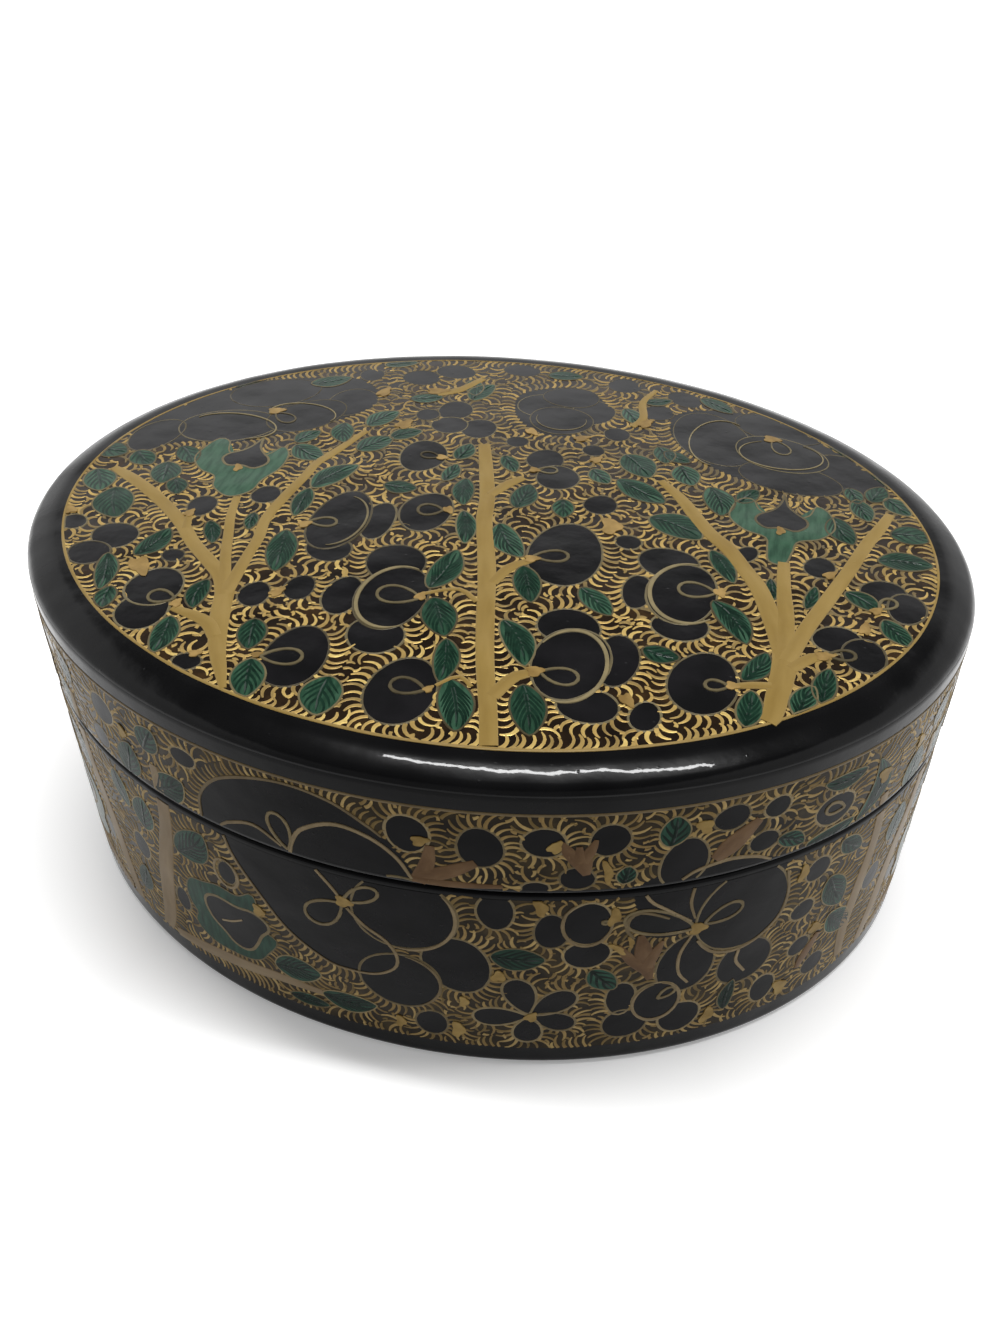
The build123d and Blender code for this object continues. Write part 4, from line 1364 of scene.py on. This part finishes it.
studio = {
    "floor": 4.0,  # metres across, round
    "floorSides": 120,
    "nearGlow": 0.2,  # what the floor adds to its own colour where it is seen: before the box and beside it
    "farGlow": 0.8,
    "glowPatch": {"Location": (0, 0.05, 0), "Scale": (1.0, 0.25, 1.0)},  # long from front to back
    "glowFrom": 0.055,
    "glowTo": 0.13,
    "strip": (0.4, 0.03),
    "stripAt": (0.05, 0.0, 0.62),
    "stripTarget": (0.0, 0.0, 0.03),
    "stripPower": 2.9,
    # a pale wall all round, dimmer at the front where the camera stands: level by direction, front to back
    "around": [(0.0, 0.3), (0.08, 0.3), (0.26, 0.8), (0.45, 1.0), (1.0, 1.0)],
    "wallEnds": [(0.45, 1.0), (0.61, 0.0)],  # by height: the wall gives way to the ceiling
    "sides": (0.5, 0.8),  # how far sideways it starts to rise and has risen
    "sidesRaised": 0.35,  # how much higher it stands there
    "ceiling": [(0.6, 0.07), (1.0, 0.2)],
}
view = {
    "azimuth": 13.5085,
    "elevation": 39.6041,
    "roll": -0.5022,
    "place": (33.598, -133.516, 137.824),
    "focal": 1200,  # for a picture this high
    "height": 1333,
    "film": 36,
    "clip": (0.01, 20),
}


def makeFloor():
    mesh = bpy.data.meshes.new("floor")
    sides = studio["floorSides"]
    around = 2 * np.pi * np.arange(sides) / sides
    rim = studio["floor"] / 2 * np.stack([np.cos(around), np.sin(around), 0 * around], 1)
    mesh.from_pydata(rim.tolist(), [], [tuple(range(sides))])
    material, tree, shader, place = newMaterial("paleStudioFloor", Roughness=0.9, Specular_IOR_Level=0.1)
    shader.inputs["Base Color"].default_value = linear("f4f4f4")
    patch = addNode(tree, "ShaderNodeMapping", {"Vector": place, **studio["glowPatch"]})
    away = addNode(tree, "ShaderNodeVectorMath", {0: patch}, operation="LENGTH").outputs["Value"]
    level = addNode(tree, "ShaderNodeMapRange", {
        "Value": away, "From Min": studio["glowFrom"], "From Max": studio["glowTo"],
        "To Min": studio["nearGlow"], "To Max": studio["farGlow"]})
    rays = addNode(tree, "ShaderNodeLightPath").outputs
    seen = rays["Is Camera Ray"]
    for ray in ("Is Glossy Ray", "Is Transmission Ray"):
        seen = addNode(tree, "ShaderNodeMath", {0: seen, 1: rays[ray]}, operation="MAXIMUM")
    strength = addNode(tree, "ShaderNodeMath", {0: seen, 1: level}, operation="MULTIPLY")
    glow = addNode(tree, "ShaderNodeEmission", {"Strength": strength})
    surface = tree.nodes["Material Output"].inputs["Surface"]
    addNode(tree, "ShaderNodeAddShader", {0: shader, 1: glow}, to=surface)
    mesh.materials.append(material)
    floor = bpy.data.objects.new("floor", mesh)
    bpy.context.scene.collection.objects.link(floor)


# Something that looks along minus its third axis, with its axes and its place in metres
def setUp(name, data, axes, place):
    item = bpy.data.objects.new(name, data)
    item.matrix_world = Matrix([(*row, at) for row, at in zip(np.stack(axes, 1), place)] + [(0, 0, 0, 1)])
    bpy.context.scene.collection.objects.link(item)
    return item


def makeStrip():
    light = bpy.data.lights.new("overheadStrip", "AREA")
    light.shape = "RECTANGLE"
    light.size, light.size_y = studio["strip"]
    light.energy = studio["stripPower"]
    back = unit(np.array(studio["stripAt"]) - np.array(studio["stripTarget"]))
    side = unit(np.cross((0, 1, 0), back))
    setUp("overheadStrip", light, [side, np.cross(back, side), back], studio["stripAt"])


# The world is a pale wall all round up to about 30 degrees, where it gives way to a dim ceiling.
def makeWorld():
    world = bpy.data.worlds.new("studio")
    bpy.context.scene.world = world
    world.use_nodes = True
    tree = world.node_tree
    direction = addNode(tree, "ShaderNodeTexCoord").outputs["Generated"]
    x, y, z = addNode(tree, "ShaderNodeSeparateXYZ", {"Vector": direction}).outputs
    backwards = addNode(tree, "ShaderNodeMapRange", {"Value": y, "From Min": -1.0})
    sideways = addNode(tree, "ShaderNodeMath", {0: x}, operation="ABSOLUTE")
    start, stop = studio["sides"]
    raised = addNode(tree, "ShaderNodeMapRange", {
        "Value": sideways, "From Min": start, "From Max": stop, "To Max": studio["sidesRaised"]})
    height = addNode(tree, "ShaderNodeMath", {0: z, 1: raised}, operation="SUBTRACT")
    share, ceiling, wall = [
        addNode(tree, "ShaderNodeValToRGB", {"Fac": source}, studio[stops])
        for source, stops in ((height, "wallEnds"), (z, "ceiling"), (backwards, "around"))]
    background = tree.nodes["Background"].inputs
    background["Strength"].default_value = 1.0
    levels = {"Factor": share, "A": ceiling, "B": wall}
    addNode(tree, "ShaderNodeMix", levels, to=background["Color"], data_type="FLOAT")


def makeCamera():
    azimuth, elevation, roll = np.radians([view["azimuth"], view["elevation"], view["roll"]])
    level = np.cos(elevation)
    back = np.array([np.sin(azimuth) * level, -np.cos(azimuth) * level, np.sin(elevation)])
    right = unit(np.cross(-back, (0, 0, 1)))
    down = np.cross(-back, right)
    across = right * np.cos(roll) + down * np.sin(roll)
    below = -right * np.sin(roll) + down * np.cos(roll)
    data = bpy.data.cameras.new("camera")
    data.lens, data.sensor_width = view["focal"] / view["height"] * view["film"], view["film"]
    data.clip_start, data.clip_end = view["clip"]
    bpy.context.scene.camera = setUp("camera", data, [across, -below, back], np.array(view["place"]) * mm)


makeFloor()
makeStrip()
makeWorld()
makeCamera()
bpy.context.scene.view_settings.view_transform = "Standard"
